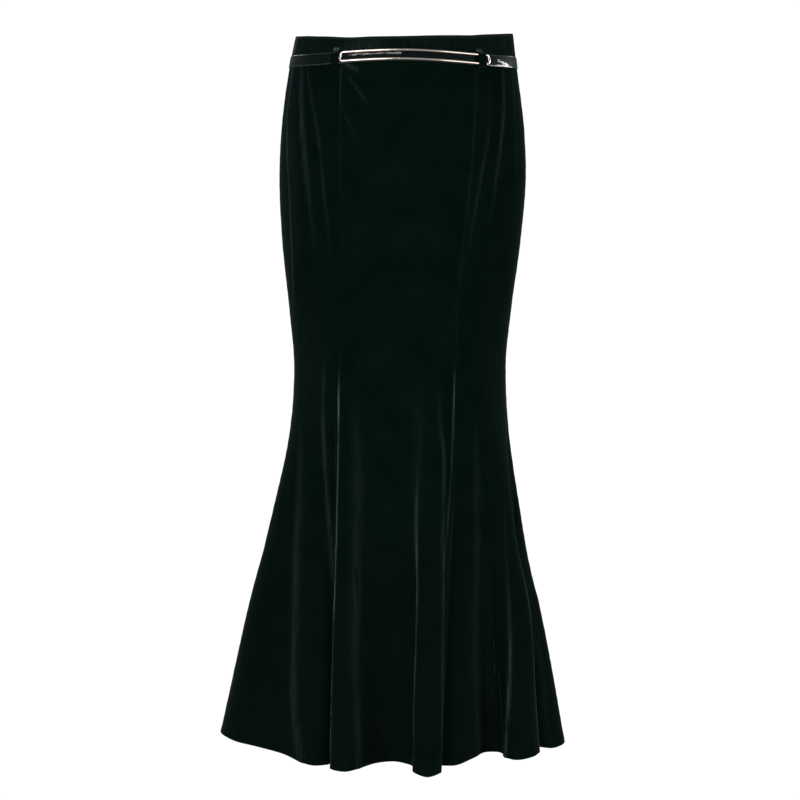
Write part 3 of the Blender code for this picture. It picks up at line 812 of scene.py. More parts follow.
@dataclass
class Piece:
    """One piece of the scene, as arrays, on its way into a mesh object.

    surface is where each point lies on the flat cloth, with the pieces laid apart so that their grain
    differs. painted_sheen is each point's painted highlight; second tells which faces take the second finish.
    """

    name: str
    points: Array
    quads: Array
    slot: Slot
    finishes: tuple[Finish, ...]
    surface: Array | None = None
    painted_sheen: Array | None = None
    second: Array | None = None
    caps: tuple[tuple[int, ...], ...] = ()

    def build(self, *nodes: str) -> bpy.types.Object:
        """Makes the object, smooth and riding on the skirt, in place of these CAD nodes.

        Args:
            nodes: Names of the CAD nodes that it stands for.

        Returns:
            The object.
        """
        mesh = bpy.data.meshes.new(self.name)
        faces = self.quads.tolist() + [list(cap) for cap in self.caps]
        mesh.from_pydata((self.points.reshape(-1, 3) * MM).tolist(), [], faces)
        for finish in self.finishes:
            mesh.materials.append(finish)
        if self.second is not None:
            marks = np.zeros(len(faces), np.int32)
            marks[: len(self.second)] = self.second
            mesh.polygons.foreach_set("material_index", marks)
        if self.surface is not None:
            corner = np.empty(len(mesh.loops), np.int32)
            mesh.loops.foreach_get("vertex_index", corner)
            layer = mesh.uv_layers.new(name=CLOTH_UV)
            layer.data.foreach_set("uv", (self.surface.reshape(-1, 2)[corner] * MM).ravel())
        if self.painted_sheen is not None:
            mesh.attributes.new(PAINTED_SHEEN_ATTRIBUTE, "FLOAT", "POINT").data.foreach_set("value", self.painted_sheen.ravel())
        mesh.shade_smooth()
        mesh.set_sharp_from_angle(angle=math.radians(SHARP_ANGLE))
        obj = bpy.data.objects.new(self.name, mesh)
        bpy.context.scene.collection.objects.link(obj)
        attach(obj, SKIRT_BODY)
        if nodes:
            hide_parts(*nodes)
        LOG.info("%s: %d points, %d faces", self.name, len(mesh.vertices), len(mesh.polygons))
        return obj


def lined_wall(
    name: str, node: str, faces: list[Array], flat: Array, painted_sheen: Array, cloth: tuple[Finish, Finish]
) -> bpy.types.Object:
    """Builds a wall of cloth, its pile outside and its reverse inside, in place of a CAD node.

    Args:
        name: The piece's name.
        node: The CAD node that it stands for.
        faces: The outer and the inner grid of points.
        flat: Where each point lies on the flat cloth.
        painted_sheen: How much painted highlight each point takes.
        cloth: The finishes of pile and reverse.

    Returns:
        The object.
    """
    quads, second = wall_quads(*painted_sheen.shape)
    flats, painted_sheen_layers = np.stack([flat, flat]), np.stack([painted_sheen, np.zeros_like(painted_sheen)])
    return Piece(name, np.stack(faces), quads, Slot.VELVET, cloth, flats, painted_sheen_layers, second).build(node)


def rounded(radius: float, steps: int) -> tuple[Array, Array]:
    """A quarter round: how far each row lies from the edge, and how far it is set back from the face."""
    turn = np.linspace(math.radians(EDGE_START), math.pi / 2, steps)
    return radius * (1 - np.cos(turn)), radius * (1 - np.sin(turn))


def bell(distance: Array, width: float | Array) -> Array:
    """A soft bump: 1 at distance 0, falling as a bell of this width."""
    return np.exp(-((distance / width) ** 2))


def unit(vectors: Array) -> Array:
    """The vectors at unit length."""
    return vectors / np.linalg.norm(vectors, axis=-1, keepdims=True)


def running(points: Array, axis: int) -> Array:
    """Distance from the first point to each along one axis of a grid: the steps between them, summed."""
    steps = np.linalg.norm(np.diff(points, axis=axis), axis=-1)
    return np.insert(np.cumsum(steps, axis=axis), 0, 0.0, axis=axis)


def loop_steps(loop: Array) -> Array:
    """Distance from each point of loop[row, column] to the next, and from the last to the first."""
    return np.linalg.norm(np.roll(loop, -1, axis=1) - loop, axis=-1)


# ---------------------------------------------------------------- the waist


@dataclass(frozen=True)
class Slack:
    """A place where the waist edge sags, or rides up: its angle, its half width in degrees and its rise."""

    angle: float
    width: float
    rise: float


@dataclass(frozen=True)
class Waist:
    """The oval that skirt, waistband and belt follow, and the lines of the waist edge and the belt on it."""

    edge: float = 19.3
    front_dip: float = 9.6
    dip_power: float = 1.2
    back_rise: float = 3.0
    tilt: float = 1.7
    belt: float = -14.0
    belt_front_rise: float = 1.5
    belt_corner_droop: float = 1.9
    belt_right_drop: float = 1.5
    seam_below_belt: float = 3.0
    slack: tuple[Slack, ...] = (
        Slack(241.0, 9.0, -1.1),
        Slack(306.0, 6.0, -0.6),
        Slack(209.0, 7.0, 0.4),
        Slack(284.0, 9.0, 0.3),
        Slack(30.0, 12.0, -0.5),
        Slack(105.0, 10.0, 0.4),
        Slack(140.0, 12.0, -0.6),
    )

    def sizes(self, heights: Array) -> tuple[Array, ...]:
        """Half width, front depth, back depth and shift at each height, upright at the knee.

        Args:
            heights: The heights.

        Returns:
            The four sizes, each shaped as the heights are.
        """
        table = np.array([
            (row.height, row.half_width, row.front_depth, row.back_depth, row.shift) for row in SECTIONS[::-1]
        ])
        slopes = np.gradient(table[:, 1:], table[:, 0], axis=0)
        slopes[0] = 0
        return tuple(np.moveaxis(hermite(table[:, 0], table[:, 1:], heights, slopes), -1, 0))

    def points(self, angles: Array, heights: Array, offset: Array | float = 0.0) -> Array:
        """Points of the oval at these angles and heights, moved out level along its normal.

        The oval is x = shift + half width * cos(angle), y = depth * sin(angle), and its level normal is
        (cos(angle) / half width, sin(angle) / depth) at unit length.

        Args:
            angles: Angles in degrees.
            heights: Heights.
            offset: How far out the points lie.

        Returns:
            The points, with x, y and z last.
        """
        angles, heights, offset = np.broadcast_arrays(np.radians(angles), heights, offset)
        half_width, front_depth, back_depth, shift = self.sizes(heights)
        depth = np.where(np.sin(angles) < 0, front_depth, back_depth)
        normal = unit(np.stack([np.cos(angles) / half_width, np.sin(angles) / depth], axis=-1))
        x = shift + half_width * np.cos(angles) + offset * normal[..., 0]
        y = depth * np.sin(angles) + offset * normal[..., 1]
        return np.stack([x, y, heights], axis=-1)

    def edge_height(self, angles: Array) -> Array:
        """Height of the waist edge: it dips at the front and rises at the back and to the right.

        The dip is a power of the sine at the front, the rise its square at the back; slack places are bells.

        Args:
            angles: Angles in degrees.

        Returns:
            The height at each angle.
        """
        cosine, sine = np.cos(np.radians(angles)), np.sin(np.radians(angles))
        dip = self.front_dip * np.maximum(-sine, 0) ** self.dip_power
        slack = sum(row.rise * bell((angles - row.angle + 180) % 360 - 180, row.width) for row in self.slack)
        return self.edge + self.tilt * cosine - dip + self.back_rise * np.maximum(sine, 0) ** 2 + slack

    def belt_height(self, angles: Array) -> Array:
        """Height of the belt's middle: bowed up at the centre front, a little low on the right.

        The bow is the sine's fourth power less a droop at the corners, the square of the double angle's sine.

        Args:
            angles: Angles in degrees.

        Returns:
            The height at each angle.
        """
        angles = np.radians(angles)
        front = np.where(np.sin(angles) < 0, 1.0, 0.0)
        bow = self.belt_front_rise * np.sin(angles) ** 4 - self.belt_corner_droop * np.sin(2 * angles) ** 2
        return self.belt + front * bow - self.belt_right_drop * np.maximum(np.cos(angles), 0)

    def seam_height(self, angles: Array) -> Array:
        """Height of the seam between waistband and skirt, behind the belt."""
        return self.belt_height(angles) - self.seam_below_belt

    def girth(self, angles: Array) -> Array:
        """Distance round the belt line from the first of the angles to each of them."""
        return running(self.points(angles, self.belt_height(angles)), 0)


# ---------------------------------------------------------------- the skirt


@dataclass(frozen=True)
class Skirt:
    """The seven gored panels, each a thin velvet shell with its flare folds, seams and creases."""

    waist: Waist
    velvet: Finish
    back: Finish
    knee: float = -387.0
    hem: float = -858.0
    top_gap: float = 0.3
    rows_to_knee: int = 110
    rows_to_hem: int = 120
    fine: float = 0.6
    wall: float = 1.5
    hem_allowance: float = 26.0
    hem_extra: float = 0.7
    seam_gap: float = 0.02
    seam_depth: float = 0.6
    seam_width: float = 1.5
    # Painted highlight beside each seam: its amount, how far from the seam, and how wide.
    seam_painted_highlight: float = 0.012
    seam_painted_highlight_at: float = 2.2
    seam_painted_highlight_width: float = 1.2
    pucker: float = 0.2
    pucker_reach: float = 7.0
    pucker_wave: float = 2.9
    pucker_drift: float = 31.0
    pucker_swing: float = 5.0
    pucker_beat: float = 13.0
    edge_rows: int = 3
    hem_step: float = 2.0
    flat_apart: float = 1000.0

    def lines(self) -> Array:
        """A row for each seam and fold line: place, waist and knee angle, bow, flare start, hem x and y.

        A fold line's angles and flare start lie at its share of the way between those of its two seams.

        Returns:
            The rows.
        """
        seams = np.array([
            (number, seam.waist_angle, seam.knee_angle, seam.bow, seam.flare_start, seam.hem_x, seam.hem_y)
            for number, seam in enumerate(SEAMS)
        ])
        turned = seams[0] + (len(SEAMS), 360, 360, 0, 0, 0, 0)
        rows = []
        for here, there, gore in zip(seams, (*seams[1:], turned), GORES):
            rows.append(here)
            for line in gore.lines:
                between = here + line.share * (there - here)
                rows.append([*between[:-2], line.hem_x, line.hem_y])
        return np.array(rows)

    def line_points(self) -> Array:
        """Points[row, line] of every line from the waistband's seam to the hem.

        Down to the knee a line lies on the oval, its angle running from waist to knee with a bow. Below it, a
        line goes from its knee point to its hem point, first along a parabola and then straight.

        Returns:
            The points, with x, y and z last.
        """
        _, waist_angle, knee_angle, bow, flare_start, hem_x, hem_y = self.lines().T
        down = np.linspace(0, 1, self.rows_to_knee + 1)[:, None]
        top = self.waist.seam_height(waist_angle) - self.top_gap
        angles = waist_angle + down * (knee_angle - waist_angle) + bow * 4 * down * (1 - down)
        upper = self.waist.points(angles, top + down * (self.knee - top))
        edge, _ = rounded(self.wall / 2, self.edge_rows)
        evenly = np.linspace(0, 1, self.rows_to_hem + 1)[1:-1]
        fall = np.append(evenly, 1 - edge[::-1] / (self.knee - self.hem))[:, None]
        slope = 1 / (1 - flare_start / 2)
        curved = slope * fall**2 / (2 * flare_start)
        out = np.where(fall < flare_start, curved, slope * (fall - flare_start / 2))
        start = upper[-1]
        x = start[:, 0] + out * (hem_x - start[:, 0])
        y = start[:, 1] + out * (hem_y - start[:, 1])
        z = np.broadcast_to(self.knee + fall * (self.hem - self.knee), x.shape)
        return np.concatenate([upper, np.stack([x, y, z], axis=-1)])

    def columns(self, points: Array) -> tuple[Array, Array, Array]:
        """Spreads the loop's columns between the lines by their widest distance.

        Args:
            points: The lines' points.

        Returns:
            For each column the line before it, its share of the way to the next line, and its place.
        """
        widest = loop_steps(points).max(axis=0)
        lines = [1 + len(gore.lines) for gore in GORES]
        steps = np.repeat([gore.step for gore in GORES], lines)
        at_seam = np.isin(np.arange(len(steps)), np.cumsum([0, *lines]))
        steps = np.where(at_seam | np.roll(at_seam, -1), self.fine * steps, steps)
        counts = np.maximum(np.ceil(widest / steps), 2).astype(int)
        line = np.repeat(np.arange(len(counts)), counts)
        share = np.concatenate([np.arange(count) / count for count in counts])
        places = np.append(self.lines()[:, 0], len(SEAMS))
        return line, share, places[line] + share * np.diff(places)[line]

    @staticmethod
    def spline(points: Array, line: Array, share: Array) -> Array:
        """Centripetal Catmull-Rom loop through points[row, line], read at shares of the way between lines.

        The knots lie apart by the root of the distance, and the curve is blended from chords in three steps.

        Args:
            points: The lines' points.
            line: For each column, the line before it.
            share: For each column, its share of the way to the next line.

        Returns:
            The loop's points[row, column].
        """
        count = points.shape[1]
        before, start, end, after = (points[:, (line + k) % count] for k in (-1, 0, 1, 2))
        gap1, gap2, gap3 = (
            np.linalg.norm(b - a, axis=-1, keepdims=True) ** 0.5 for a, b in
            ((before, start), (start, end), (end, after))
        )
        knot1, knot2, knot3 = gap1, gap1 + gap2, gap1 + gap2 + gap3
        at = knot1 + gap2 * share[:, None]
        first = (before * (knot1 - at) + start * at) / knot1
        second = (start * (knot2 - at) + end * (at - knot1)) / gap2
        third = (end * (knot3 - at) + after * (at - knot2)) / gap3
        left = (first * (knot2 - at) + second * at) / knot2
        right = (second * (knot3 - at) + third * (at - knot1)) / (knot3 - knot1)
        return (left * (knot2 - at) + right * (at - knot1)) / gap2

    @staticmethod
    def level_frame(loop: Array) -> tuple[Array, Array]:
        """Level unit tangents and outward normals of loop[row, column], each row a closed loop.

        Args:
            loop: The points.

        Returns:
            The tangents and the normals.
        """
        tangent = np.roll(loop, -1, axis=1) - np.roll(loop, 1, axis=1)
        tangent[..., 2] = 0
        tangent = unit(tangent)
        return tangent, np.stack([tangent[..., 1], -tangent[..., 0], np.zeros(tangent.shape[:2])], axis=-1)

    @staticmethod
    def distances(loop: Array, places: Array, centre: Array) -> Array:
        """Distance along each row from a line at place centre[row] to each column, below 0 on its left.

        The distance is the row's running length at the column less that at the line, the nearer way round.

        Args:
            loop: The plain cloth.
            places: The place of each column.
            centre: The line's place in each row.

        Returns:
            The distances.
        """
        step = loop_steps(loop)
        along = np.cumsum(step, axis=1) - step
        girth = step.sum(axis=1)[:, None]
        column = np.interp(centre % len(SEAMS), np.append(places, len(SEAMS)), np.arange(len(places) + 1))
        whole = np.floor(column).astype(int)
        rows = np.arange(len(loop))
        here = along[rows, whole % len(places)]
        here = here + (column - whole) * step[rows, whole % len(places)]
        return (along - here[:, None] + girth / 2) % girth - girth / 2

    def relief(self, loop: Array, places: Array) -> tuple[Array, Array]:
        """How far the cloth stands out at seams and creases, and how much painted highlight it takes there.

        A crease is a bell across its line with a width for either side, times its strength at the height. A
        seam is a narrow groove with puckers, slow waves along it that fade to the sides.

        Args:
            loop: The plain cloth.
            places: The place of each column.

        Returns:
            The outward move in millimetres and the painted highlight from 0 to 1.
        """
        heights = loop[:, :, 2].mean(axis=1)
        out = np.zeros(loop.shape[:2])
        painted_sheen = np.zeros(loop.shape[:2])
        for crease in CREASES:
            table = np.array(crease.knots)[::-1]
            place, strength = hermite(table[:, 0], table[:, 1:], heights).T
            strength = np.clip(strength, 0, None)[:, None]
            away = self.distances(loop, places, place)
            shape = strength * bell(away, np.where(away < 0, crease.left, crease.right))
            out += crease.depth * shape
            # Each crease lays on its painted highlight.
            painted_sheen = np.maximum(painted_sheen, crease.painted_highlight * shape)
        for number in range(len(SEAMS)):
            away = self.distances(loop, places, np.full(len(loop), float(number)))
            drift = self.pucker_swing * np.sin(heights / self.pucker_drift + number)
            beat = np.sin(heights / self.pucker_beat + 2 * number)
            wave = np.sin(heights / self.pucker_wave + drift) * beat
            out += self.pucker * wave[:, None] * bell(away, self.pucker_reach)
            out -= self.seam_depth * bell(away, self.seam_width)
            # A painted highlight to either side of the seam.
            painted_highlight = bell(np.abs(away) - self.seam_painted_highlight_at, self.seam_painted_highlight_width)
            painted_sheen = np.maximum(painted_sheen, self.seam_painted_highlight * painted_highlight)
        return out, np.clip(painted_sheen, 0, 1)

    def build(self) -> None:
        """Shapes the whole skirt and cuts it at its seams into panels."""
        points = self.line_points()
        line, share, places = self.columns(points)
        loop = self.spline(points, line, share)
        tangent, outward = self.level_frame(loop)
        out, painted_sheen = self.relief(loop, places)
        loop = loop + outward * out[..., None]
        heights = loop[:, :, 2]
        _, set_back = rounded(self.wall / 2, self.edge_rows)
        edge = np.zeros(len(loop))
        edge[-len(set_back):] = set_back[::-1]
        above_hem = heights - self.hem
        double = self.hem_extra * np.clip((self.hem_allowance - above_hem) / self.hem_step, 0, 1)
        outer = loop - outward * edge[:, None, None]
        inner = loop - outward * (self.wall + double - edge[:, None])[..., None]
        across, down = running(loop, 1), running(loop, 0)
        for number, gore in enumerate(GORES):
            first, last = np.searchsorted(places, (number - TINY, number + 1 - TINY))
            cut = np.arange(first, last + 1) % len(places)
            faces = []
            for grid in (outer, inner):
                grid = grid[:, cut].copy()
                grid[:, 0] += tangent[:, cut[0]] * self.seam_gap / 2
                grid[:, -1] -= tangent[:, cut[-1]] * self.seam_gap / 2
                faces.append(grid)
            run = across[:, cut].copy()
            run[:, -1] = run[:, -2] + np.linalg.norm(faces[0][:, -1] - faces[0][:, -2], axis=-1)
            run -= run[:, [len(cut) // 2]]
            flat = np.stack([run + self.flat_apart * number, -down[:, cut]], axis=-1)
            cloth = (self.velvet, self.back)
            piece = lined_wall(f"velvet_{gore.name}", f"panel_{gore.name}", faces, flat, painted_sheen[:, cut], cloth)
            self.declare(piece, faces[0], gore)

    @staticmethod
    def declare(piece: bpy.types.Object, grid: Array, gore: Gore) -> None:
        """Does nothing with the panel.

        Args:
            piece: The panel's object; not used.
            grid: Its outer face; not used.
            gore: Its row of the table; not used.
        """


# ---------------------------------------------------------------- the waistband


@dataclass(frozen=True)
class BandCrease:
    """An upright ripple of the waistband: its angle, width, depth and the painted highlight it lays on the
    velvet.
    """

    angle: float
    width: float
    depth: float
    painted_highlight: float


@dataclass(frozen=True)
class BandPiece:
    """A piece of the waistband, from angle to angle, with the CAD node that it stands for."""

    name: str
    node: str
    start: float
    end: float


@dataclass(frozen=True)
class Waistband:
    """The shaped waistband: folded velvet with a rounded edge and a row of topstitching under it."""

    waist: Waist
    velvet: Finish
    back: Finish
    wall: float = 2.6
    step: float = 0.9
    rows: int = 22
    edge_rows: int = 5
    groove_below: float = 2.3
    groove_depth: float = 0.45
    groove_width: float = 0.8
    # Painted highlight: a line under the rounded edge, and a little over the whole band.
    edge_painted_highlight: float = 0.08
    edge_painted_highlight_at: float = 2.9
    edge_painted_highlight_width: float = 1.0
    painted_bloom: float = 0.03
    seam_gap: float = 0.02
    crease_fade: float = 4.0
    # Where the creases' painted highlight is strongest down the band, and how far it spreads.
    crease_middle: float = 14.0
    crease_reach: float = 12.0
    flat_at: float = 2000.0
    pieces: tuple[BandPiece, ...] = (
        BandPiece("band_back_right", "waistband_back_right", 0.0, 90.0),
        BandPiece("band_back_left", "waistband_back_left", 90.0, 180.0),
        BandPiece("band_front", "waistband_front", 180.0, 360.0),
    )
    creases: tuple[BandCrease, ...] = (
        BandCrease(20.0, 3.0, 0.30, 0.16),
        BandCrease(62.0, 4.0, 0.25, 0.10),
        BandCrease(118.0, 4.0, 0.30, 0.12),
        BandCrease(155.0, 3.0, 0.30, 0.16),
        BandCrease(193.5, 3.4, 0.50, 1.0),
        BandCrease(206.0, 4.0, 0.25, 0.06),
        # A broad painted highlight where light thrown back by the frame falls on the band's front.
        BandCrease(250.0, 32.0, 0.10, 0.13),
        BandCrease(334.0, 1.8, 0.40, 0.16),
    )

    def build(self) -> None:
        """Makes the pieces, each a wall with a rounded waist edge."""
        drop, set_back = rounded(self.wall / 2, self.edge_rows)
        half_width = self.waist.sizes(np.array(self.waist.belt))[0]
        half_gap = math.degrees(self.seam_gap / 2 / half_width)
        for part in self.pieces:
            count = int((part.end - part.start) / self.step) + 1
            angles = np.linspace(part.start + half_gap, part.end - half_gap, count)
            top, bottom = self.waist.edge_height(angles), self.waist.seam_height(angles)
            below = np.linspace(0, 1, self.rows)[1:, None] * (top - bottom - drop[-1])
            depth = np.concatenate([np.broadcast_to(drop[:, None], (len(drop), count)), drop[-1] + below])
            edge = np.zeros_like(depth)
            edge[: len(drop)] = set_back[:, None]
            out = -self.groove_depth * bell(depth - self.groove_below, self.groove_width)
            # Painted highlight of the band: a little everywhere, at the creases and under the rounded edge.
            painted_sheen = np.full_like(depth, self.painted_bloom)
            for crease in self.creases:
                shape = bell(np.radians(angles - crease.angle) * half_width, crease.width)[None, :]
                out = out + crease.depth * shape * np.clip(depth / self.crease_fade, 0, 1)
                reach = bell(depth - self.crease_middle, self.crease_reach)
                painted_sheen = np.maximum(painted_sheen, crease.painted_highlight * shape * reach)
            painted_sheen = np.maximum(painted_sheen, self.edge_painted_highlight * bell(depth - self.edge_painted_highlight_at, self.edge_painted_highlight_width))
            outer = self.waist.points(angles, top - depth, out - edge)
            inner = self.waist.points(angles, top - depth, edge - self.wall)
            run = self.waist.girth(angles)
            flat = np.stack([np.broadcast_to(run + self.flat_at, depth.shape), -depth], axis=-1)
            piece = lined_wall(part.name, part.node, [outer, inner], flat, painted_sheen, (self.velvet, self.back))


# ---------------------------------------------------------------- the belt


@dataclass(frozen=True)
class Strap:
    """The patent strap: one band round the waist whose tip laps over its own tail behind the frame.

    It presses into the cloth at both sides, where the waist bends most.
    """

    waist: Waist
    patent: Finish
    width: float = 13.8
    thickness: float = 1.3
    tip_angle: float = 271.5
    tail_angle: float = -106.0
    lap_ends: float = 222.0
    lap_ramp: float = 20.0
    lay_gap: float = 0.3
    step: float = 0.8
    corner: float = 0.5
    crown: float = 0.16
    # Width of the painted highlight along both edges.
    edge_highlight_width: float = 0.8
    press: float = 0.7
    press_power: float = 8.0
    end_round: float = 3.0
    end_least: float = 0.03
    end_power: float = 4.0
    face_points: int = 41
    corner_points: int = 6
    flat_at: float = 3000.0

    def profile(self) -> tuple[Array, Array]:
        """The strap's cut across, one turn: distance out from its inner face and height from its middle.

        The outer face is a parabola between two round corners; the inner face is flat.

        Returns:
            The distances and the heights.
        """
        half, far, near = self.width / 2, self.thickness - self.corner, self.corner
        low = near - half
        level = np.linspace(-low, low, self.face_points)
        face = self.thickness + self.crown * (1 - (level / low) ** 2)
        turn = np.linspace(0, math.pi / 2, self.corner_points)[1:]
        sine, cosine = self.corner * np.sin(turn), self.corner * np.cos(turn)
        out = np.concatenate([face, far + cosine, near - sine, near - cosine[::-1], far + sine[:-1]])
        up = np.concatenate([level, low - sine, low - cosine, -low + sine[::-1], -low + cosine[:-1]])
        return out, up

    def build(self) -> None:
        """Carries the profile round the belt line, narrowing its last few millimetres to round both ends."""
        count = int((self.tip_angle - self.tail_angle) / self.step) + 1
        angles = np.linspace(self.tail_angle, self.tip_angle, count)
        down = np.clip((self.lap_ends - angles) / self.lap_ramp, 0, 1)
        down = down * down * (3 - 2 * down)
        pressed = self.press * np.abs(np.cos(np.radians(angles))) ** self.press_power
        lift = self.lay_gap + (1 - down) * (self.thickness + self.lay_gap) - pressed
        out, up = self.profile()
        run = self.waist.girth(angles)
        end = np.minimum(run, run[-1] - run)
        closed = (1 - np.clip(end / self.end_round, self.end_least, 1)) ** self.end_power
        narrow = (1 - closed) ** (1 / self.end_power)
        heights = self.waist.belt_height(angles)[:, None] + narrow[:, None] * up
        grid = self.waist.points(angles[:, None], heights, lift[:, None] + out)
        around = running(np.stack([out, up], axis=-1), 0)
        flat = np.stack(np.broadcast_arrays(run[:, None] + self.flat_at, around), axis=-1)
        sides = len(out)
        caps = (tuple(range(sides))[::-1], tuple(range((count - 1) * sides, count * sides)))
        quads = tube_quads(count, sides, closed=False)
        # Painted highlight along both long edges, handed over as the strap's painted sheen.
        edge_highlight = np.broadcast_to(bell(np.abs(up) - self.width / 2, self.edge_highlight_width), heights.shape)
        piece = Piece("patent_strap", grid, quads, Slot.PATENT, (self.patent,), flat, edge_highlight, caps=caps)
        piece.build("belt_strap")


@dataclass(frozen=True)
class BeltFrame:
    """The long open frame of the buckle: one polished round bar, bowed with the waist."""

    waist: Waist
    metal: Finish
    left_angle: float = 238.2
    right_angle: float = 315.7
    bar: float = 3.1
    spacing: float = 10.4
    left_rise: float = 0.55
    corner: float = 3.6
    lift: float = 3.5
    sides: int = 20
    along: int = 110
    turns: int = 8
    across: int = 4
    measures: int = 9

    def outline(self) -> tuple[Array, Array]:
        """The bar's middle line: share of the way along and height, a long rectangle with round corners.

        Returns:
            The shares and the heights, once round.
        """
        ends = np.linspace(self.left_angle, self.right_angle, self.measures)
        length = float(self.waist.girth(ends)[-1])
        half, corner = self.spacing / 2, self.corner / length
        turn = np.linspace(0, math.pi / 2, self.turns + 2)[1:-1]
        straight = np.linspace(corner, 1 - corner, self.along)
        end = np.linspace(half - self.corner, self.corner - half, self.across)
        rise = half - self.corner + self.corner * np.cos(turn)
        reach = corner * np.sin(turn)
        right_along = np.concatenate([1 - corner + reach, np.ones(self.across), (1 - corner + reach)[::-1]])
        right_up = np.concatenate([rise, end, -rise[::-1]])
        along = np.concatenate([straight, right_along, straight[::-1], 1 - right_along])
        up = np.concatenate([np.full(self.along, half), right_up, np.full(self.along, -half), -right_up])
        return along, up

    def build(self) -> None:
        """Carries a circle along the outline, across the way of the bar and the waist's own normal."""
        along, up = self.outline()
        angles = self.left_angle + along * (self.right_angle - self.left_angle)
        heights = self.waist.belt_height(angles) + self.left_rise * (1 - along) ** 2 + up
        path = self.waist.points(angles, heights, self.lift + self.bar / 2)
        outward = unit(path - self.waist.points(angles, heights))
        aside = unit(np.cross(np.roll(path, -1, axis=0) - np.roll(path, 1, axis=0), outward))
        turn = np.linspace(0, 2 * math.pi, self.sides, endpoint=False)[:, None]
        ring = np.cos(turn) * outward[:, None] + np.sin(turn) * aside[:, None]
        points = path[:, None] + self.bar / 2 * ring
        quads = tube_quads(len(path), self.sides, closed=True)
        Piece("frame_bar", points, quads, Slot.ROSE_GOLD, (self.metal,)).build("belt_frame")


@dataclass(frozen=True)
class LoopPlace:
    """Where a belt loop stands, its width, how far it stands off the waistband, and the painted highlight on
    its top.
    """

    name: str
    angle: float
    width: float
    over: float
    painted_highlight: float


@dataclass(frozen=True)
class BeltLoops:
    """Velvet strips sewn flat at both ends that stand out over the belt."""

    waist: Waist
    velvet: Finish
    thickness: float = 1.2
    landing: float = 2.5
    ramp: float = 3.4
    reach: float = 12.6
    lay_gap: float = 0.3
    rows: int = 56
    columns: int = 17
    edge_power: float = 16.0
    edge_most: float = 0.985
    # Width of the painted highlight at the loop's top bend, and how much it fades towards the edges.
    bend: float = 2.6
    top_highlight_fade: float = 0.5
    flat_at: float = 4000.0
    cut_width: float = 10.0
    places: tuple[LoopPlace, ...] = (
        LoopPlace("front_left", 234.8, 9.5, 3.2, 1.0),
        LoopPlace("front_right", 310.9, 10.0, 6.6, 0.75),
        LoopPlace("back_left", 125.0, 9.5, 1.6, 0.7),
        LoopPlace("back_right", 55.0, 9.5, 1.6, 0.8),
    )

    def build(self) -> None:
        """Makes each loop: a strip that goes smoothly up, over and down, pillowed between its edges."""
        for place in self.places:
            low, high = self.lay_gap, place.over + self.lay_gap
            ups = np.array([self.reach, self.reach - self.landing, self.reach - self.landing - self.ramp])
            levels = np.concatenate([-ups, ups[::-1]])
            offsets = np.array([low, low, high, high, low, low])
            up = np.linspace(-self.reach, self.reach, self.rows)[::-1]
            offset = hermite(levels, offsets, up, np.zeros(len(levels)))
            belt = float(self.waist.belt_height(place.angle))
            beside = self.waist.points(np.array([place.angle - 1, place.angle + 1]), belt)
            tangent = unit(beside[1] - beside[0])
            share = np.linspace(-1, 1, self.columns)
            across = (share * place.width / 2)[:, None] * tangent
            aside = np.minimum(np.abs(share), self.edge_most) ** self.edge_power
            turned = self.thickness / 2 * (1 - np.sqrt(1 - aside))
            inner = self.waist.points(place.angle, belt + up, offset)[:, None] + across
            outer = self.waist.points(place.angle, belt + up, offset + self.thickness)[:, None] + across
            thin = (outer - inner) * (turned / self.thickness)[None, :, None]
            # A painted highlight across the top bend, fading towards the edges.
            bend = bell(up - (self.reach - self.landing), self.bend)
            painted_sheen = place.painted_highlight * bend[:, None] * (1 - self.top_highlight_fade * share[None, :] ** 2)
            flat = np.stack(np.meshgrid(share * place.width / 2 + self.flat_at, -up), axis=-1)
            quads, _ = wall_quads(self.rows, self.columns)
            piece = Piece(
                f"loop_{place.name}",
                np.stack([outer - thin, inner + thin]),
                quads,
                Slot.VELVET,
                (self.velvet,),
                np.stack([flat, flat]),
                np.stack([painted_sheen, painted_sheen]),
            ).build(f"belt_loop_{place.name}")


# ---------------------------------------------------------------- sewing


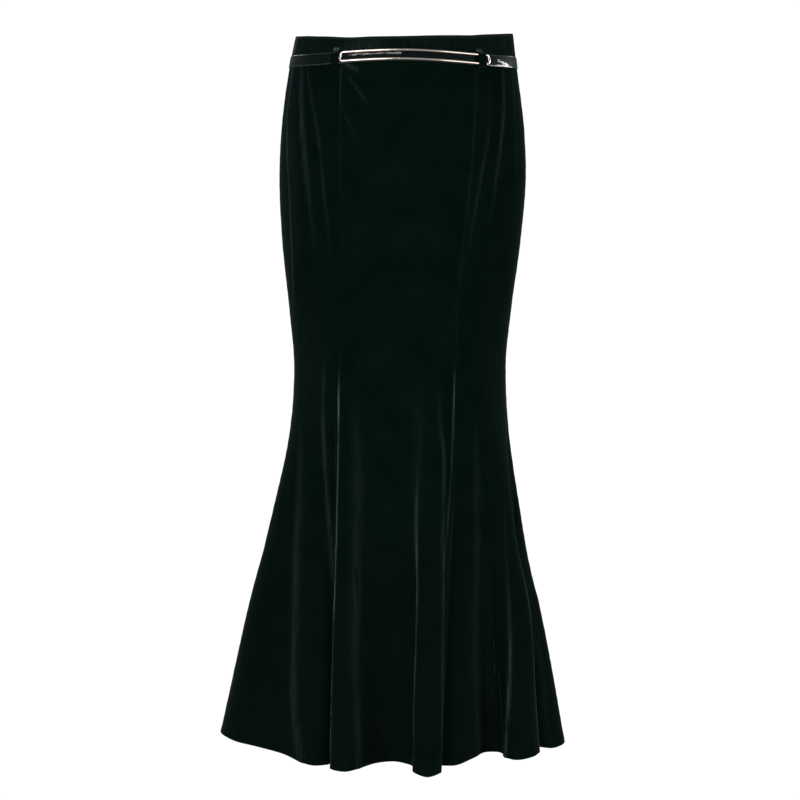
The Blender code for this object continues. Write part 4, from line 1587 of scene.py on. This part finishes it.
@dataclass(frozen=True)
class Stitches:
    """Rows of stitches: short round threads that dip in at both ends."""

    waist: Waist
    thread: Finish
    length: float = 2.5
    gap: float = 0.8
    radius: float = 0.2
    sides: int = 6
    rings: int = 6
    least: float = 0.25
    sink: float = 0.6
    probe: float = 0.2
    start: float = 90.0
    measures: int = 1441

    def row(self, centres: Array, ways: Array, outward: Array) -> tuple[Array, Array]:
        """Copies one stitch to every centre, along its way, humped along its outward normal.

        A stitch is a tube along an arc, and its radius closes at both ends as the root of a half round does.

        Args:
            centres: Middle of each stitch on the cloth.
            ways: Unit vector along each stitch.
            outward: Unit normal at each stitch.

        Returns:
            Points[stitch, ring, side] and the quads of them all.
        """
        share = np.linspace(-1, 1, self.rings)
        radius = self.radius * np.maximum(np.sqrt(1 - share**2), self.least)
        lift = self.radius * (1 - share**2)
        turn = np.linspace(0, 2 * math.pi, self.sides, endpoint=False)
        aside = np.cross(ways, outward)
        points = (
            centres[:, None, None]
            + (share * self.length / 2)[None, :, None, None] * ways[:, None, None]
            + (lift[:, None] + radius[:, None] * np.cos(turn))[None, :, :, None] * outward[:, None, None]
            + (radius[:, None] * np.sin(turn))[None, :, :, None] * aside[:, None, None]
        )
        first = np.arange(len(centres)) * self.rings * self.sides
        quads = tube_quads(self.rings, self.sides, closed=False) + first[:, None, None]
        return points, quads.reshape(-1, 4)

    def build(self, waistband: Waistband) -> None:
        """Sews the topstitching round under the waist edge.

        Args:
            waistband: The waistband, whose groove the stitches lie in.
        """
        angles = self.start + np.linspace(0, 360, self.measures)
        run = self.waist.girth(angles)
        count = int(run[-1] / (self.length + self.gap))
        middle = np.interp((np.arange(count) + 0.5) / count * run[-1], run, angles)
        height = self.waist.edge_height(middle) - waistband.groove_below
        centres = self.waist.points(middle, height, self.radius * self.sink - waistband.groove_depth)
        outward = self.waist.points(middle, height, 1.0) - self.waist.points(middle, height)
        before, after = middle - self.probe, middle + self.probe
        ways = self.waist.points(after, self.waist.edge_height(after))
        ways = unit(ways - self.waist.points(before, self.waist.edge_height(before)))
        points, quads = self.row(centres, ways, outward)
        Piece("band_topstitch", points, quads, Slot.VELVET, (self.thread,)).build()


# ---------------------------------------------------------------- the zip


@dataclass(frozen=True)
class ZipFastening:
    """The concealed zip's slider and pull, which keep their own solids and take a lacquered finish."""

    metal: Finish

    def build(self) -> None:
        """Gives the slider and the pull their finish."""
        for node in ("zip_slider", "zip_pull"):
            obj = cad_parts[node]
            obj.data.materials.clear()
            obj.data.materials.append(self.metal)
            LOG.info("%s keeps its solid", node)


# ---------------------------------------------------------------- the studio


class Reach(Enum):
    """What a soft box shows on: everything, only the cloth, or only polished pieces, as a mirrored shape."""

    ALL = "all"
    CLOTH = "cloth"
    POLISH = "polish"


@dataclass(frozen=True)
class SoftLight:
    """A soft box that faces the skirt: angle round it, height, distance, size, strength, reach and roll."""

    name: str
    angle: float
    height: float
    distance: float
    width: float
    tall: float
    watts: float
    reach: Reach = Reach.ALL
    roll: float = 0.0


@dataclass(frozen=True)
class Studio:
    """A pale sweep, soft boxes to either side and behind, and the camera."""

    floor_height: float = -1.02
    hole: float = 0.001
    flat_radius: float = 3.2
    wall_radius: float = 6.5
    wall_height: float = 5.0
    flat_rows: int = 5
    bend_rows: int = 13
    turns: int = 96
    glow_from: float = 0.28
    centre_height: float = -0.40
    world: Colour = (0.165, 0.205, 0.20, 1.0)
    pale: Colour = (0.86, 0.86, 0.86, 1.0)
    backdrop: float = 1.02
    camera_distance: float = 2.40
    camera_height: float = -0.218
    camera_pitch: float = 5.04
    lens: float = 87.0
    sensor: float = 36.0
    lights: tuple[SoftLight, ...] = (
        SoftLight("left_front_box", 237.0, -0.25, 2.3, 1.95, 1.6, 31.0),
        SoftLight("left_high_box", 238.0, 1.75, 2.2, 1.9, 0.8, 10.0),
        SoftLight("right_front_box", 321.0, -0.25, 2.3, 2.1, 1.6, 25.0),
        SoftLight("front_card", 283.0, -0.2, 2.5, 1.7, 1.5, 3.0),
        SoftLight("left_strip", 238.0, 0.945, 2.3, 0.82, 0.045, 1.5, Reach.POLISH),
        SoftLight("front_strip", 258.5, 0.94, 2.3, 0.82, 0.045, 1.5, Reach.POLISH),
        SoftLight("right_strip", 10.0, 0.505, 2.4, 0.9, 0.05, 3.6, Reach.POLISH, -11.5),
        SoftLight("right_low_strip", 10.8, 0.37, 2.4, 2.22, 0.14, 28.0, Reach.POLISH, -4.3),
        SoftLight("front_fill", 263.0, -0.45, 2.7, 2.6, 1.6, 38.0, Reach.CLOTH),
        SoftLight("left_fill", 208.0, -0.40, 2.3, 1.2, 1.5, 14.0, Reach.CLOTH),
        SoftLight("right_fill", 332.0, -0.75, 2.3, 1.2, 1.0, 20.0, Reach.CLOTH),
        SoftLight("back_left_box", 118.0, 1.30, 2.4, 1.4, 0.8, 30.0),
        SoftLight("back_right_box", 62.0, 1.30, 2.4, 1.4, 0.8, 24.0),
        SoftLight("back_fill", 88.0, -0.45, 2.7, 2.2, 1.6, 60.0, Reach.CLOTH),
    )

    def floor(self) -> None:
        """Makes the sweep: a disc that turns up into a round wall, as a profile spun about Z."""
        flat = np.linspace(0, self.flat_radius, self.flat_rows)
        flat[0] = self.hole
        turn = np.linspace(0, math.pi / 2, self.bend_rows + 1)[1:]
        bend = self.wall_radius - self.flat_radius
        radius = np.concatenate([flat, self.flat_radius + bend * np.sin(turn), [self.wall_radius]])[:, None]
        rise = np.concatenate([np.zeros(self.flat_rows), bend * (1 - np.cos(turn)), [self.wall_height]])
        height = rise[:, None] + self.floor_height
        angle = np.linspace(0, 2 * math.pi, self.turns, endpoint=False)
        spun = np.broadcast_arrays(radius * np.cos(angle), radius * np.sin(angle), height)
        points = np.stack(spun, axis=-1)
        quads = tube_quads(len(radius), self.turns, closed=False)[:, ::-1]
        mesh = bpy.data.meshes.new("studio_sweep")
        mesh.from_pydata(points.reshape(-1, 3).tolist(), [], quads.tolist())
        mesh.shade_smooth()
        mesh.materials.append(self.floor_material())
        obj = bpy.data.objects.new("studio_sweep", mesh)
        bpy.context.scene.collection.objects.link(obj)
        obj.visible_diffuse = False
        obj.visible_glossy = False

    def floor_material(self) -> Finish:
        """Pale matt paint near the skirt that turns into an even glow towards the wall.

        Returns:
            The material.
        """
        nodes = Nodes("studio_paint")
        flat = nodes.stretched(nodes.place(), (1.0, 1.0, 0.0))
        away = nodes.add("ShaderNodeVectorMath", {0: flat}, operation="LENGTH").outputs["Value"]
        far = nodes.spread(away, (0.0, self.glow_from), (0.0, 1.0))
        nodes.fill(nodes.shader, {"Base Color": self.pale, "Roughness": 0.9, "Specular IOR Level": 0.0})
        glow = nodes.add("ShaderNodeEmission", {"Color": (1.0, 1.0, 1.0, 1.0), "Strength": self.backdrop})
        mix = nodes.add("ShaderNodeMixShader", {0: far, 1: nodes.shader.outputs[0], 2: glow.outputs[0]})
        nodes.fill(nodes.tree.nodes["Material Output"], {"Surface": mix.outputs[0]})
        return nodes.material

    def light(self, box: SoftLight) -> None:
        """Hangs one soft box, turned to the skirt's middle.

        Args:
            box: Its row of the table.
        """
        data = bpy.data.lights.new(box.name, "AREA")
        data.shape = "RECTANGLE"
        data.size, data.size_y = box.width, box.tall
        data.energy = box.watts
        obj = bpy.data.objects.new(box.name, data)
        turn = math.radians(box.angle)
        obj.location = (box.distance * math.cos(turn), box.distance * math.sin(turn), box.height)
        aim = Vector((0.0, 0.0, self.centre_height)) - obj.location
        level = aim.to_track_quat("-Z", "Y")
        obj.rotation_euler = (level @ Quaternion((0.0, 0.0, 1.0), math.radians(box.roll))).to_euler()
        obj.visible_camera = False
        obj.visible_glossy = box.reach != Reach.CLOTH
        obj.visible_diffuse = box.reach != Reach.POLISH
        bpy.context.scene.collection.objects.link(obj)

    def build(self) -> None:
        """Sets up the sweep, world, soft boxes and camera."""
        self.floor()
        scene = bpy.context.scene
        scene.world = bpy.data.worlds.new("studio_air")
        scene.world.use_nodes = True
        scene.world.node_tree.nodes["Background"].inputs["Color"].default_value = self.world
        for box in self.lights:
            self.light(box)
        data = bpy.data.cameras.new("camera")
        data.lens = self.lens
        data.sensor_width = self.sensor
        camera = bpy.data.objects.new("camera", data)
        camera.location = (0.0, -self.camera_distance, self.camera_height)
        camera.rotation_euler = (math.radians(90.0 - self.camera_pitch), 0.0, 0.0)
        scene.collection.objects.link(camera)
        scene.camera = camera
        scene.view_settings.view_transform = "Standard"


def main() -> None:
    """Builds every piece in order, then the studio."""
    logging.basicConfig(level=logging.INFO, format="%(name)s: %(message)s")
    waist = Waist()
    velvet, back = Velvet().material(), VelvetBack().material()
    patent = Patent().material()
    rose_gold, lacquer, thread = ROSE_GOLD.material(), LACQUER.material(), Thread().material()
    Skirt(waist, velvet, back).build()
    waistband = Waistband(waist, velvet, back)
    waistband.build()
    Strap(waist, patent).build()
    BeltFrame(waist, rose_gold).build()
    BeltLoops(waist, velvet).build()
    Stitches(waist, thread).build(waistband)
    ZipFastening(lacquer).build()
    Studio().build()


if __name__ == "__main__":
    main()
